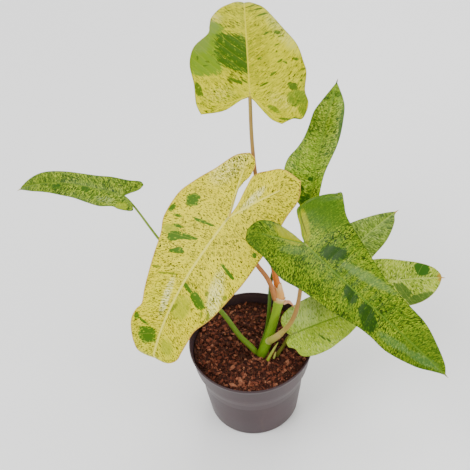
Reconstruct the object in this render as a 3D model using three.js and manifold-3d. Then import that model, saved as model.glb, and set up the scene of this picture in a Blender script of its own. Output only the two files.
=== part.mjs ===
// Potted variegated philodendron: a tapered nursery pot filled with bark mix, a short stem, and
// eight long-stalked leaves with lobed, bent blades. Millimetres, +Z up. The origin is the centre of
// the pot's underside, and -Y is the side that the two largest leaves lean to.
import * as THREE from "three";
import Module from "manifold-3d";
import { mergeVertices } from "three/addons/utils/BufferGeometryUtils.js";

const wasm = await Module();
wasm.setup();

// Driving dimensions of the pot
const POT_OUTSIDE = {
  footEdge: [42.8, 0],
  heel: [44, 1.4],
  lowerWall: [48, 33],
  waist: [49.6, 51],
  underStep: [51.8, 61],
  step: [55.3, 71],
  collar: [56.2, 75],
  underRim: [58.8, 92],
  rimEdge: [60, 95.4],
  rimTop: [59.8, 97],
};
const POT_WALL = 1.3;
const POT_FLOOR = 1.8;
const POT_SIDES = 56;
const FOOT_HEIGHT = 2.4;
const FOOT_WIDTH = 4;
const FOOT_SLOPE = 1.5;
const FLOOR_CORNER = 2;
const PAD_RADIUS = 17;
const DRAIN_HOLES = 6;
const DRAIN_RADIUS = 3.2;
const DRAIN_CIRCLE = 27;
const DRAIN_SIDES = 12;
const NOTCH_COUNT = 6;
const NOTCH_WIDTH = 9;
const NOTCH_HEIGHT = 1.4;
const NOTCH_TURN = 0.12;

// Driving dimensions of the soil
const SOIL_TOP = 86;
const SOIL_RELIEF = 0.8;
const SOIL_GAP = 0.4;
const SOIL_BOTTOM_CORNER = 2.6;
const SOIL_RINGS = 8;
const SOIL_SIDES = 40;

// Waves summed into the soil's lumps: height, turn per mm along x and along y, and start
const SOIL_WAVES = [
  [0.5, 0.31, 0.27, 0.7],
  [0.5, 0.31, -0.27, 1.9],
  [0.6, 0.43, 0.55, 0],
  [0.5, 0.83, -0.61, 3.57],
];

// Shared by everything that touches
const CLEARANCE = 0.3;
const ROOT_DEPTH = 20;
const BLADE_THICKNESS = 0.8;
const STALK_OVERRUN = 3;
const STALK_SIDES = 8;
const STALK_STOP_WIDTH = 20;
const STALK_STOP_DEPTH = 12;

// How the grid of a half blade is laid out: the spine's reach into the lobe, and the shares of the
// inner and outer margin at which the columns round the lobe tip end
const LOBE_AXIS = 0.7;
const INNER_END = 0.86;
const LOBE_TURN = 0.94;
const OUTER_START = 0.04;

// The midrib is walked from this many lengths behind the junction to this many ahead of it
const MIDRIB_BEHIND = 0.7;
const MIDRIB_AHEAD = 1.1;
const MIDRIB_STEP = 0.5;

const COLOURS = {
  pot: 0x6b6064,
  soil: 0x3a2118,
  stem: 0x7fae1c,
  bud: 0xb9c95a,
  cataphyll: 0xe9b6a0,
};

// Each leaf: the junction of stalk and blade, the pose of the midrib there, how the blade bends, and
// the blade's outline laid flat. Flat coordinates are x across the blade and y along the midrib from
// the junction. Angles are in degrees. right and left run from the junction round the lobe to the tip.
const LEAVES = {
  a: {
    junction: [13.2, 93.5, 330],
    length: 155,
    halfWidth: 50,
    heading: 89.5,
    rise: 16,
    droop: 85,
    droopPower: 2.6,
    lobeDroop: 10,
    sweep: -1,
    roll: 4,
    twist: -1,
    fold: [8, 6],
    camber: [0.16, 0.25],
    wave: [1.5, 2.5, 0.5],
    colour: 0xd9dc3c,
    tip: [0, 140],
    right: [
      [8, -13], [17, -25], [26, -30], [36, -25], [44, -25], [49, -17], [51, -8], [49, 4],
      [52, 24], [50, 35], [45, 53], [34, 73], [24, 92], [17, 106], [8, 120],
    ],
    left: [
      [-8, -5], [-24, -16], [-44, -19], [-48, -8], [-49, 10], [-52, 32], [-48, 50], [-35, 64],
      [-33, 74], [-31, 85], [-23, 101], [-12, 116],
    ],
    stalk: [[30, 18, 139], [28, 26, 152], [20, 48, 200], [14, 71, 254], [12.6, 82, 288]],
    stalkRadii: [[0, 3.9], [0.05, 3.4], [0.14, 2.5], [0.3, 2.0], [1, 1.7]],
    stalkColour: 0xb98f62,
    fine: true,
  },
  b: {
    junction: [-13, 26.6, 246.5],
    length: 155,
    halfWidth: 49,
    heading: -139.5,
    rise: -29,
    droop: 42,
    droopPower: 1.6,
    lobeDroop: 20,
    sweep: 5,
    roll: -12,
    twist: 3,
    fold: [4, 6],
    camber: [0.34, 0.2],
    wave: [1.2, 2.2, 1],
    tipCurl: [147, 9],
    colour: 0xe9e58a,
    tip: [0, 163],
    right: [
      [5, -12], [10, -28], [9, -41], [14, -54], [24, -57], [33, -47], [39, -27], [47, -8],
      [53, 10], [51, 32], [43, 47], [38, 65], [31, 93], [27, 107], [30, 115], [31, 125],
      [28, 135], [22, 146], [12, 156],
    ],
    left: [
      [1, -14], [5, -31], [7, -44], [0, -55], [-10, -65], [-29, -67], [-39, -53], [-41, -33],
      [-45, -8], [-47, 13], [-46, 46], [-40, 82], [-30, 105], [-28, 118], [-26, 131], [-24, 141],
      [-17, 149], [-8, 155],
    ],
    stalk: [[26, 17, 138], [20, 21.5, 161.5], [9, 25.7, 182.6], [-2, 27.5, 214.5]],
    stalkRadii: [[0, 3.0], [0.12, 2.4], [0.3, 2.2], [1, 1.9]],
    stalkColour: 0xc79a78,
    fine: true,
  },
  c: {
    junction: [51, -23.2, 261.4],
    length: 163.5,
    halfWidth: 46.2,
    heading: -50,
    rise: -14,
    droop: 21,
    droopPower: 1.5,
    lobeDroop: 5,
    sweep: 14,
    roll: 34,
    twist: -4,
    fold: [3, 0],
    camber: [0.42, 0.6],
    wave: [1.2, 2, 0],
    leftLobeCurl: { start: -19, slope: 0.33, bulge: 6, bulgeAt: 29, bulgeReach: 21, radius: 13.5 },
    colour: 0x6f9a22,
    tip: [0, 163.5],
    right: [
      [1, -14], [4, -29], [8, -38], [16, -46], [29, -49], [38, -44], [38, -35], [36, -21],
      [38, -6], [38, 5], [33, 21], [30, 38], [28, 53], [22, 77], [20, 94], [20, 114], [13, 139],
      [5, 154],
    ],
    left: [
      [-3, -7], [-8, -14], [-13, -24], [-18, -35], [-28, -40], [-38, -38], [-47, -31], [-53, -20],
      [-54, -10], [-48, 0], [-42, 10], [-36, 31], [-31, 49], [-25, 73], [-22, 100], [-20, 122],
      [-13, 142], [-6, 157],
    ],
    stalk: [
      [16, -4, 99], [20.5, -9, 109.5], [27, -12, 120], [36, -14.8, 136.7], [41.9, -15.8, 154.4],
      [45, -15.5, 170.8], [47, -15, 187], [49.5, -18.3, 224.5],
    ],
    stalkRadii: [[0, 3.6], [0.08, 3.2], [0.2, 2.4], [0.4, 2.0], [1, 1.8]],
    stalkColour: 0xb9a063,
    fine: true,
    rows: 6,
    lobeSteps: 7,
  },
  d: {
    junction: [60.4, 51, 217],
    length: 129,
    halfWidth: 24,
    heading: 70,
    rise: 54,
    droop: 30,
    droopPower: 1.5,
    lobeDroop: 6,
    sweep: -6,
    roll: 9,
    twist: 1,
    fold: [5, 24],
    camber: [0.25, 0.3],
    wave: [0.8, 2, 0],
    colour: 0x6c9425,
    tip: [-2, 125],
    right: [
      [2, -4], [5, -5], [8, 2], [8, 14], [8, 26], [9, 40], [12, 53], [15, 66], [16, 78],
      [15, 92], [13, 103], [9, 111], [3, 119],
    ],
    left: [
      [-3, -4], [-5, 2], [-11, 9], [-20, 18], [-27, 28], [-29, 38], [-27, 48], [-21, 58],
      [-17, 68], [-15, 80], [-14, 93], [-10, 104], [-6, 114],
    ],
    stalk: [
      [10, 1, 87], [16, 10, 100], [20, 19, 128], [23, 30, 150], [30, 40, 163], [45, 44, 167],
      [58, 47, 175], [61.6, 50, 195],
    ],
    stalkRadii: [[0, 2.2], [0.15, 1.9], [1, 1.4]],
    stalkColour: 0x6f8f2c,
  },
  e: {
    junction: [71.2, 27.9, 146.3],
    length: 109,
    halfWidth: 26,
    heading: 42,
    rise: 16,
    droop: 25,
    droopPower: 1.5,
    lobeDroop: 6,
    sweep: 0,
    roll: 12,
    twist: 0,
    fold: [7, 7],
    camber: [0.3, 0.3],
    wave: [0.8, 2, 1],
    colour: 0xa8b864,
    tip: [0, 109],
    right: [
      [4, -8], [9, -14], [16, -14], [21, -6], [23, 8], [23, 28], [20, 50], [18, 71], [14, 85],
      [8, 97], [3, 103],
    ],
    left: [
      [-4, -8], [-9, -14], [-16, -14], [-21, -6], [-23, 8], [-24, 28], [-23, 48], [-20, 63],
      [-13, 81], [-6, 97],
    ],
    stalk: [[44, 19, 87], [51, 26, 100], [63, 34, 113], [71, 36, 126], [73, 32, 139]],
    stalkRadii: [[0, 1.9], [1, 1.4]],
    stalkColour: 0x8a9a48,
  },
  f: {
    junction: [85.8, 21.9, 140],
    length: 101,
    halfWidth: 25,
    heading: 4,
    rise: 4,
    droop: 18,
    droopPower: 1.5,
    lobeDroop: 6,
    sweep: 3,
    roll: 22,
    twist: 0,
    fold: [7, 7],
    camber: [0.3, 0.3],
    wave: [0.8, 2, 2],
    colour: 0xb4bd6c,
    tip: [0, 102],
    right: [
      [4, -8], [9, -14], [16, -14], [21, -6], [24, 8], [25, 26], [26, 46], [26, 62], [24, 76],
      [18, 88], [9, 97],
    ],
    left: [
      [-4, -4], [-9, -7], [-15, -7], [-20, -1], [-23, 10], [-24, 28], [-23, 48], [-20, 63],
      [-16, 80], [-11, 93], [-5, 100],
    ],
    stalk: [[47, 13, 87], [51, 18, 98], [61, 28, 106], [75, 37, 117], [83, 32, 130]],
    stalkRadii: [[0, 1.9], [1, 1.4]],
    stalkColour: 0x8a9a48,
  },
  g: {
    junction: [39, -11.5, 118],
    length: 95,
    halfWidth: 28,
    heading: 27,
    rise: -7,
    droop: 21,
    droopPower: 1.5,
    lobeDroop: 6,
    sweep: 3,
    roll: 25,
    twist: 0,
    fold: [7, 6],
    camber: [0.28, 0.32],
    wave: [0.8, 2, 0],
    colour: 0x9db75a,
    tip: [0, 96],
    right: [
      [2, -5], [5, -9], [10, -9], [14, -4], [22, -1], [26, 8], [27, 20], [26, 33], [23, 45],
      [20, 56], [15, 68], [9, 80], [4, 90],
    ],
    left: [
      [-6, -5], [-14, -5], [-20, -1], [-24, 8], [-26, 20], [-28, 35], [-26, 48], [-21, 62],
      [-14, 75], [-6, 88],
    ],
    stalk: [[25, -11, 87], [31, -9, 98]],
    stalkRadii: [[0, 2.2], [0.4, 1.8], [1, 1.6]],
    stalkColour: 0x85862f,
  },
  h: {
    junction: [-110.6, 86.1, 222],
    length: 112,
    halfWidth: 22,
    heading: 163,
    rise: 9,
    droop: 50,
    droopPower: 1.6,
    lobeDroop: 6,
    sweep: -6,
    roll: -17,
    twist: -2,
    fold: [8, 8],
    camber: [0.3, 0.3],
    wave: [0.6, 2, 0],
    colour: 0x6d9327,
    tip: [0, 116],
    right: [
      [3, -5], [9, -13], [15, -16], [18, -12], [16, -1], [15, 16], [13, 28], [12, 42], [12, 60],
      [12, 76], [11, 88], [7, 101],
    ],
    left: [
      [-2, -4], [-5, -10], [-12, -14], [-14, -11], [-15, 0], [-14, 6], [-17, 18], [-16, 31],
      [-14, 44], [-13, 58], [-11, 73], [-8, 93], [-4, 106],
    ],
    stalk: [[3, -5, 87], [-10, 4, 100], [-23, 15, 119], [-54, 36, 158], [-80, 57, 190]],
    stalkRadii: [[0, 3.1], [0.12, 2.9], [0.35, 2.2], [0.7, 1.3], [1, 1.0]],
    stalkColour: 0x7d9a2a,
  },
};

const STEM = {
  steps: 12,
  sides: 12,
  path: [[10, -9, 87], [15, -5, 98], [24, 8, 120], [30, 18, 138]],
  radii: [[0, 5.0], [0.25, 5.2], [0.4, 4.5], [0.85, 4.3], [0.95, 4.7], [1, 4.6]],
};
const CATAPHYLL = {
  steps: 6,
  sides: 8,
  path: [[34.4, 15.4, 133.5], [38, 15, 134.5], [41, 14, 132], [43, 13, 128]],
  radii: [[0, 1.7], [0.5, 1.3], [1, 0.35]],
};
const SHOOT = {
  steps: 8,
  sides: 8,
  path: [[15, -17, 87], [21, -12, 96], [26, -9, 104]],
  radii: [[0, 1.9], [0.4, 1.6], [1, 0.35]],
};
const BUD = {
  steps: 8,
  sides: 8,
  path: [[21, -15, 87], [22, -14.5, 91], [23, -14, 95]],
  radii: [[0, 1.6], [0.5, 1.3], [1, 0.4]],
};

const radians = THREE.MathUtils.degToRad;

// Vertices merged by place, so that a closed mesh becomes a solid.
function solidOf(geometry) {
  const bare = new THREE.BufferGeometry();
  const source = geometry.index ? geometry.toNonIndexed() : geometry;
  bare.setAttribute("position", source.getAttribute("position"));
  const merged = mergeVertices(bare, 1e-4);
  return new wasm.Manifold(
    new wasm.Mesh({
      numProp: 3,
      vertProperties: merged.attributes.position.array,
      triVerts: new Uint32Array(merged.index.array),
    }),
  );
}

function geometryOf(solid) {
  const mesh = solid.getMesh();
  const geometry = new THREE.BufferGeometry();
  geometry.setAttribute("position", new THREE.BufferAttribute(mesh.vertProperties, 3));
  geometry.setIndex(new THREE.BufferAttribute(mesh.triVerts, 1));
  geometry.computeVertexNormals();
  return geometry;
}

function largestPiece(solid) {
  const pieces = solid.decompose();
  pieces.sort((p, q) => q.volume() - p.volume());
  return pieces[0];
}

// A value read along stops [[place, value], ...] with straight lines between them.
function alongStops(stops, t) {
  for (let i = 1; i < stops.length; i++) {
    const [t0, v0] = stops[i - 1];
    const [t1, v1] = stops[i];
    if (t <= t1) return v0 + ((v1 - v0) * (t - t0)) / (t1 - t0);
  }
  return stops[stops.length - 1][1];
}

// A round tube along a smooth curve, with its radius read along stops, closed at both ends. A tube
// made to cut clear of another is grown on every side.
function taperedTube(points, radii, steps, sides, grow = 0) {
  const curve = new THREE.CatmullRomCurve3(points.map((p) => new THREE.Vector3(...p)));
  const frames = curve.computeFrenetFrames(steps, false);
  const ends = { 0: -grow, [steps]: grow };
  const rings = [];
  for (let i = 0; i <= steps; i++) {
    const centre = curve.getPointAt(i / steps).addScaledVector(frames.tangents[i], ends[i] ?? 0);
    const radius = alongStops(radii, i / steps) + grow;
    rings.push(
      Array.from({ length: sides }, (_, k) => {
        const angle = (2 * Math.PI * k) / sides;
        return centre
          .clone()
          .addScaledVector(frames.normals[i], radius * Math.cos(angle))
          .addScaledVector(frames.binormals[i], radius * Math.sin(angle));
      }),
    );
  }
  const first = curve.getPointAt(0).addScaledVector(frames.tangents[0], -grow);
  const last = curve.getPointAt(1).addScaledVector(frames.tangents[steps], grow);
  const corners = [];
  for (let k = 0; k < sides; k++) {
    const next = (k + 1) % sides;
    corners.push(first, rings[0][next], rings[0][k]);
    corners.push(last, rings[steps][k], rings[steps][next]);
    for (let i = 0; i < steps; i++) {
      corners.push(rings[i][k], rings[i][next], rings[i + 1][next]);
      corners.push(rings[i][k], rings[i + 1][next], rings[i + 1][k]);
    }
  }
  return new THREE.BufferGeometry().setFromPoints(corners);
}

// The path carried down into the soil, a little towards the middle, as the buried foot of a stalk.
function rooted(path) {
  const [x, y, z] = path[0];
  return [[0.86 * x, 0.86 * y, z - ROOT_DEPTH], [0.94 * x, 0.94 * y, z - ROOT_DEPTH / 2], ...path];
}

// One leaf blade as a bent surface: flat (x, y) in, a point in space and its normal out.
class Blade {
  constructor(leaf) {
    this.leaf = leaf;
    this.step = MIDRIB_STEP;
    this.start = -MIDRIB_BEHIND * leaf.length;
    this.midrib = this.walkMidrib();
  }

  // Direction of travel at y: the heading swings by sweep, the rise falls off by droop.
  direction(y) {
    const { length, heading, rise, droop, droopPower, lobeDroop, sweep, tipCurl } = this.leaf;
    const t = y / length;
    const ahead = Math.max(t, 0) ** droopPower;
    let climb = radians(rise - droop * ahead + lobeDroop * Math.max(-t, 0));
    if (tipCurl) climb -= Math.max(0, y - tipCurl[0]) / tipCurl[1];
    const turn = radians(heading + sweep * t);
    return { climb, turn };
  }

  walkMidrib() {
    const count = Math.ceil((this.leaf.length * MIDRIB_AHEAD - this.start) / this.step);
    const origin = Math.round(-this.start / this.step);
    const points = Array.from({ length: count + 1 }, () => new THREE.Vector3());
    const tangent = (i) => this.frame(this.start + i * this.step).tangent;
    points[origin].set(...this.leaf.junction);
    for (let i = origin; i < count; i++)
      points[i + 1].copy(points[i]).addScaledVector(tangent(i + 0.5), this.step);
    for (let i = origin; i > 0; i--)
      points[i - 1].copy(points[i]).addScaledVector(tangent(i - 0.5), -this.step);
    return points;
  }

  frame(y) {
    const { climb, turn } = this.direction(y);
    const tangent = new THREE.Vector3(
      Math.cos(climb) * Math.cos(turn),
      Math.cos(climb) * Math.sin(turn),
      Math.sin(climb),
    );
    const level = new THREE.Vector3(Math.sin(turn), -Math.cos(turn), 0);
    const upright = level.clone().cross(tangent);
    const roll = radians(this.leaf.roll + (this.leaf.twist * y) / this.leaf.length);
    const side = level.clone().multiplyScalar(Math.cos(roll)).addScaledVector(upright, -Math.sin(roll));
    const normal = upright.multiplyScalar(Math.cos(roll)).addScaledVector(level, Math.sin(roll));
    return { tangent, side, normal };
  }

  onMidrib(y) {
    const place = (y - this.start) / this.step;
    const i = Math.min(Math.max(Math.floor(place), 0), this.midrib.length - 2);
    return this.midrib[i].clone().lerp(this.midrib[i + 1], place - i);
  }

  // The arched cross-section: each half leaves the midrib at its fold angle and curves down.
  bent(x, y) {
    const { halfWidth, length, fold, camber, wave } = this.leaf;
    const hand = x < 0 ? 0 : 1;
    const reach = Math.abs(x);
    const lift = radians(fold[hand]);
    const bow = camber[hand] / halfWidth;
    const across = (Math.sin(lift) - Math.sin(lift - bow * reach)) / bow;
    const ripple =
      wave[0] *
      (reach / halfWidth) ** 2 *
      Math.sin((2 * Math.PI * wave[1] * y) / length + wave[2] + 2 * hand);
    const up = (Math.cos(lift - bow * reach) - Math.cos(lift)) / bow + ripple;
    const { side, normal } = this.frame(y);
    return this.onMidrib(y)
      .addScaledVector(side, hand ? across : -across)
      .addScaledVector(normal, up);
  }

  // The point for flat (x, y), with the left lobe rolled back where the leaf has such a curl.
  point(x, y) {
    const curl = this.leaf.leftLobeCurl;
    if (!curl || x >= 0) return this.bent(x, y);
    const middle = 1 - ((-x - curl.bulgeAt) / curl.bulgeReach) ** 2;
    const start = curl.start + curl.slope * -x - curl.bulge * Math.max(0, middle);
    if (y >= start) return this.bent(x, y);
    const { tangent, normal } = this.frame(start);
    const angle = (start - y) / curl.radius;
    return this.bent(x, start)
      .addScaledVector(tangent, -Math.sin(angle) * curl.radius)
      .addScaledVector(normal, -(1 - Math.cos(angle)) * curl.radius);
  }

  normalAt(x, y) {
    const reach = 0.4;
    const across = this.point(x + reach, y).sub(this.point(x - reach, y));
    const along = this.point(x, y + reach).sub(this.point(x, y - reach));
    return across.cross(along).normalize();
  }
}

// A smooth outline through named points, read by its share of length.
function outlineThrough(points) {
  return new THREE.SplineCurve(points.map((p) => new THREE.Vector2(...p)));
}

// The flat grid of half a blade: columns run from a spine point out to a margin point. The spine
// goes from inside the lobe to the junction and on along the midrib to the tip.
function halfColumns(leaf, side) {
  const named = leaf[side];
  const lobe = named.reduce((low, p, i) => (p[1] < named[low][1] ? i : low), 0);
  const inner = outlineThrough([[0, 0], ...named.slice(0, lobe + 1)]);
  const outer = outlineThrough([...named.slice(lobe), leaf.tip]);
  const axisEnd = new THREE.Vector2(...named[lobe]).multiplyScalar(LOBE_AXIS);
  const axisLength = axisEnd.length();
  const axisSteps = leaf.lobeSteps ?? (leaf.fine ? 4 : 2);
  const ribSteps = leaf.fine ? 15 : 11;
  const whole = axisLength + leaf.tip[1];
  const outerShare = (s) => OUTER_START + ((1 - OUTER_START) * s) / whole;
  const columns = [];
  for (let i = 0; i <= axisSteps; i++)
    columns.push([axisEnd.clone().multiplyScalar(i / axisSteps), inner.getPointAt((INNER_END * i) / axisSteps)]);
  columns.push([axisEnd, inner.getPointAt(LOBE_TURN)]);
  columns.push([axisEnd, outer.getPointAt(0)]);
  for (let i = axisSteps; i >= 0; i--) {
    const s = axisLength * (1 - i / axisSteps);
    columns.push([axisEnd.clone().multiplyScalar(i / axisSteps), outer.getPointAt(outerShare(s))]);
  }
  for (let i = 1; i <= ribSteps; i++) {
    const y = (leaf.tip[1] * i) / ribSteps;
    columns.push([
      new THREE.Vector2((leaf.tip[0] * i) / ribSteps, y),
      i === ribSteps ? new THREE.Vector2(...leaf.tip) : outer.getPointAt(outerShare(axisLength + y)),
    ]);
  }
  return columns;
}

// A thin closed plate on the bent surface, its two faces split into the same triangles.
function bladeGeometry(leaf, thickness) {
  const blade = new Blade(leaf);
  const rows = leaf.rows ?? (leaf.fine ? 4 : 2);
  const faces = [];
  const rims = [];
  const key = (p) => p.x.toFixed(3) + "," + p.y.toFixed(3);
  const push = (a, b, c) => {
    if (key(a) !== key(b) && key(b) !== key(c) && key(c) !== key(a)) faces.push([a, b, c]);
  };
  for (const side of ["right", "left"]) {
    const ribs = halfColumns(leaf, side).map(([spine, margin]) =>
      Array.from({ length: rows + 1 }, (_, r) => spine.clone().lerp(margin, r / rows)),
    );
    const turned = side === "left";
    for (let i = 1; i < ribs.length; i++) {
      for (let r = 0; r < rows; r++) {
        const quad = [ribs[i - 1][r], ribs[i - 1][r + 1], ribs[i][r + 1], ribs[i][r]];
        if (turned) quad.reverse();
        push(quad[0], quad[1], quad[2]);
        push(quad[0], quad[2], quad[3]);
      }
      const edge = [ribs[i - 1][rows], ribs[i][rows]];
      if (key(edge[0]) !== key(edge[1])) rims.push(turned ? edge.reverse() : edge);
    }
  }
  const places = new Map();
  const place = (p) => {
    if (!places.has(key(p))) {
      const middle = blade.point(p.x, p.y);
      const offset = blade.normalAt(p.x, p.y).multiplyScalar(thickness / 2);
      places.set(key(p), [middle.clone().add(offset), middle.clone().sub(offset)]);
    }
    return places.get(key(p));
  };
  const corners = [];
  for (const [a, b, c] of faces) {
    corners.push(place(a)[0], place(b)[0], place(c)[0]);
    corners.push(place(a)[1], place(c)[1], place(b)[1]);
  }
  for (const [a, b] of rims) {
    corners.push(place(a)[0], place(a)[1], place(b)[1]);
    corners.push(place(a)[0], place(b)[1], place(b)[0]);
  }
  return new THREE.BufferGeometry().setFromPoints(corners);
}

// A stalk runs a little past its junction and is cut off under the blade afterwards.
function stalkGeometry(leaf, grow = 0) {
  const grows = leaf.stalk[0][2] < SOIL_TOP + 2;
  const join = new Blade(leaf).point(0, 1);
  const onward = join.clone().sub(new THREE.Vector3(...leaf.stalk.at(-1))).setLength(STALK_OVERRUN);
  const path = [
    ...(grows ? rooted(leaf.stalk) : leaf.stalk),
    join.toArray(),
    join.clone().add(onward).toArray(),
  ];
  return taperedTube(path, leaf.stalkRadii, leaf.fine ? 18 : 14, STALK_SIDES, grow);
}

// A block lying on the blade's underside at the junction, to end the stalk level with it.
function stalkStop(leaf) {
  const { side, tangent, normal } = new Blade(leaf).frame(0);
  const drop = BLADE_THICKNESS / 2 + CLEARANCE;
  const lift = STALK_STOP_DEPTH / 2 - drop;
  const centre = new THREE.Vector3(...leaf.junction).addScaledVector(normal, lift);
  return new THREE.BoxGeometry(STALK_STOP_WIDTH, STALK_STOP_WIDTH, STALK_STOP_DEPTH)
    .applyMatrix4(new THREE.Matrix4().makeBasis(side, tangent, normal))
    .translate(...centre.toArray());
}

// Pot: outer wall with its collar and waist, a foot ring and a middle pad to stand on, a thin wall
// and floor, drain holes in the raised part of the floor and notches through the foot ring.
function potSolid() {
  const outer = Object.values(POT_OUTSIDE);
  const inner = outer.slice(2, -1).reverse();
  const [footRadius] = POT_OUTSIDE.heel;
  const [topRadius, height] = POT_OUTSIDE.rimTop;
  const floorTop = FOOT_HEIGHT + POT_FLOOR;
  const profile = [
    [0, 0],
    [PAD_RADIUS - FOOT_SLOPE, 0],
    [PAD_RADIUS, FOOT_HEIGHT],
    [footRadius - FOOT_WIDTH - FOOT_SLOPE, FOOT_HEIGHT],
    [footRadius - FOOT_WIDTH, 0],
    ...outer,
    [topRadius - POT_WALL, height],
    ...inner.map(([radius, z]) => [radius - POT_WALL, z]),
    [footRadius - POT_WALL, floorTop + FLOOR_CORNER],
    [footRadius - POT_WALL - FLOOR_CORNER, floorTop],
    [0, floorTop],
  ].map(([radius, z]) => new THREE.Vector2(radius, z));
  let pot = solidOf(new THREE.LatheGeometry(profile, POT_SIDES).rotateX(Math.PI / 2));
  for (let i = 0; i < DRAIN_HOLES; i++) {
    const angle = (2 * Math.PI * (i + 0.5)) / DRAIN_HOLES;
    const drill = new THREE.CylinderGeometry(DRAIN_RADIUS, DRAIN_RADIUS, 3 * floorTop, DRAIN_SIDES)
      .rotateX(Math.PI / 2)
      .translate(DRAIN_CIRCLE * Math.cos(angle), DRAIN_CIRCLE * Math.sin(angle), floorTop / 2);
    pot = pot.subtract(solidOf(drill));
  }
  for (let i = 0; i < NOTCH_COUNT; i++) {
    const notch = new THREE.BoxGeometry(3 * FOOT_WIDTH, NOTCH_WIDTH, 2 * NOTCH_HEIGHT)
      .translate(POT_OUTSIDE.footEdge[0], 0, 0)
      .rotateZ((2 * Math.PI * (i + 0.5)) / NOTCH_COUNT + NOTCH_TURN);
    pot = pot.subtract(solidOf(notch));
  }
  return pot;
}

// The pot's inside radius at a height, for the soil to fill it.
function insideRadius(z) {
  const stops = Object.values(POT_OUTSIDE).map(([radius, height]) => [height, radius]);
  return alongStops(stops.slice(1, -2), z) - POT_WALL;
}

// Repeatable height of the soil's lumps.
function soilHeight(x, y) {
  const lump = ([height, alongX, alongY, start]) => height * Math.sin(alongX * x + alongY * y + start);
  return SOIL_TOP + SOIL_RELIEF * SOIL_WAVES.reduce((sum, wave) => sum + lump(wave), 0);
}

// Soil: a filling that follows the pot's inside at a small gap, with a lumpy top.
function soilSolid() {
  const floor = FOOT_HEIGHT + POT_FLOOR + CLEARANCE;
  const { lowerWall, waist, underStep, step, collar } = POT_OUTSIDE;
  const levels = [floor, ...[lowerWall, waist, underStep, step, collar].map(([, height]) => height)];
  const spoke = (k) => (2 * Math.PI * (k % SOIL_SIDES)) / SOIL_SIDES;
  const onWall = (level, k) => {
    const radius = insideRadius(level) - SOIL_GAP - (level === floor ? SOIL_BOTTOM_CORNER : 0);
    return new THREE.Vector3(radius * Math.cos(spoke(k)), radius * Math.sin(spoke(k)), level);
  };
  const onTop = (ring, k) => {
    const radius = ((insideRadius(SOIL_TOP - 2 * SOIL_RELIEF) - SOIL_GAP) * ring) / SOIL_RINGS;
    const x = radius * Math.cos(spoke(k));
    const y = radius * Math.sin(spoke(k));
    return new THREE.Vector3(x, y, soilHeight(x, y));
  };
  const corners = [];
  const under = new THREE.Vector3(0, 0, floor);
  const crown = new THREE.Vector3(0, 0, soilHeight(0, 0));
  for (let k = 0; k < SOIL_SIDES; k++) {
    corners.push(under, onWall(floor, k + 1), onWall(floor, k));
    const wall = levels.map((z) => [onWall(z, k), onWall(z, k + 1)]);
    for (let ring = SOIL_RINGS; ring > 0; ring--) wall.push([onTop(ring, k), onTop(ring, k + 1)]);
    for (let i = 1; i < wall.length; i++) {
      const [a, b] = wall[i - 1];
      const [c, d] = wall[i];
      corners.push(a, b, d, a, d, c);
    }
    corners.push(onTop(1, k), onTop(1, k + 1), crown);
  }
  return solidOf(new THREE.BufferGeometry().setFromPoints(corners));
}

function addMesh(group, name, solid, colour, roughness) {
  const material = new THREE.MeshStandardMaterial({
    color: colour,
    roughness,
    metalness: 0,
    side: THREE.FrontSide,
  });
  const mesh = new THREE.Mesh(geometryOf(solid), material);
  mesh.name = name;
  group.add(mesh);
}

function buildPlant() {
  const plant = new THREE.Group();
  addMesh(plant, "pot", potSolid(), COLOURS.pot, 0.5);

  const tubeOf = (shape, grow) => solidOf(taperedTube(shape.path, shape.radii, shape.steps, shape.sides, grow));
  const stemTube = (grow) => tubeOf({ ...STEM, path: rooted(STEM.path) }, grow);
  const stem = stemTube(0);
  addMesh(plant, "stem", stem, COLOURS.stem, 0.45);

  // Later stalks are cut clear of the stem and of the stalks made before them.
  const cutters = [stemTube(CLEARANCE)];
  const burrows = [stemTube(CLEARANCE)];
  for (const [letter, leaf] of Object.entries(LEAVES)) {
    const cleared = solidOf(bladeGeometry(leaf, BLADE_THICKNESS + 2 * CLEARANCE));
    addMesh(plant, "blade_" + letter, solidOf(bladeGeometry(leaf, BLADE_THICKNESS)), leaf.colour, 0.35);
    let stalk = solidOf(stalkGeometry(leaf)).subtract(solidOf(stalkStop(leaf))).subtract(cleared);
    for (const cutter of cutters) stalk = stalk.subtract(cutter);
    addMesh(plant, "petiole_" + letter, largestPiece(stalk), leaf.stalkColour, 0.5);
    const grown = solidOf(stalkGeometry(leaf, CLEARANCE));
    cutters.push(grown);
    burrows.push(grown);
  }

  const cataphyll = cutters.reduce((solid, cutter) => solid.subtract(cutter), tubeOf(CATAPHYLL, 0));
  addMesh(plant, "cataphyll", largestPiece(cataphyll), COLOURS.cataphyll, 0.5);
  for (const [name, shape] of Object.entries({ shoot: SHOOT, bud: BUD })) {
    const tube = (grow) => tubeOf({ ...shape, path: rooted(shape.path) }, grow);
    const cut = cutters.reduce((solid, cutter) => solid.subtract(cutter), tube(0));
    addMesh(plant, name, largestPiece(cut), COLOURS.bud, 0.5);
    cutters.push(tube(CLEARANCE));
    burrows.push(tube(CLEARANCE));
  }

  const soil = burrows.reduce((solid, burrow) => solid.subtract(burrow), soilSolid());
  addMesh(plant, "soil", largestPiece(soil), COLOURS.soil, 0.95);
  return plant;
}

export default buildPlant();
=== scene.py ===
"""Looks of a potted variegated philodendron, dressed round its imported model.

Lengths of the plant are given in millimetres, as in the part's own source, and turned to metres
where a mesh is made. The origin is the middle of the pot's underside, with +Z up.
"""
import sys

import logging
import math
import random
from bisect import bisect_right
from dataclasses import dataclass
from enum import Enum
from typing import Any, Callable, Iterable, Sequence

import bmesh
import bpy
from mathutils import Matrix, Vector, noise


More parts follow.
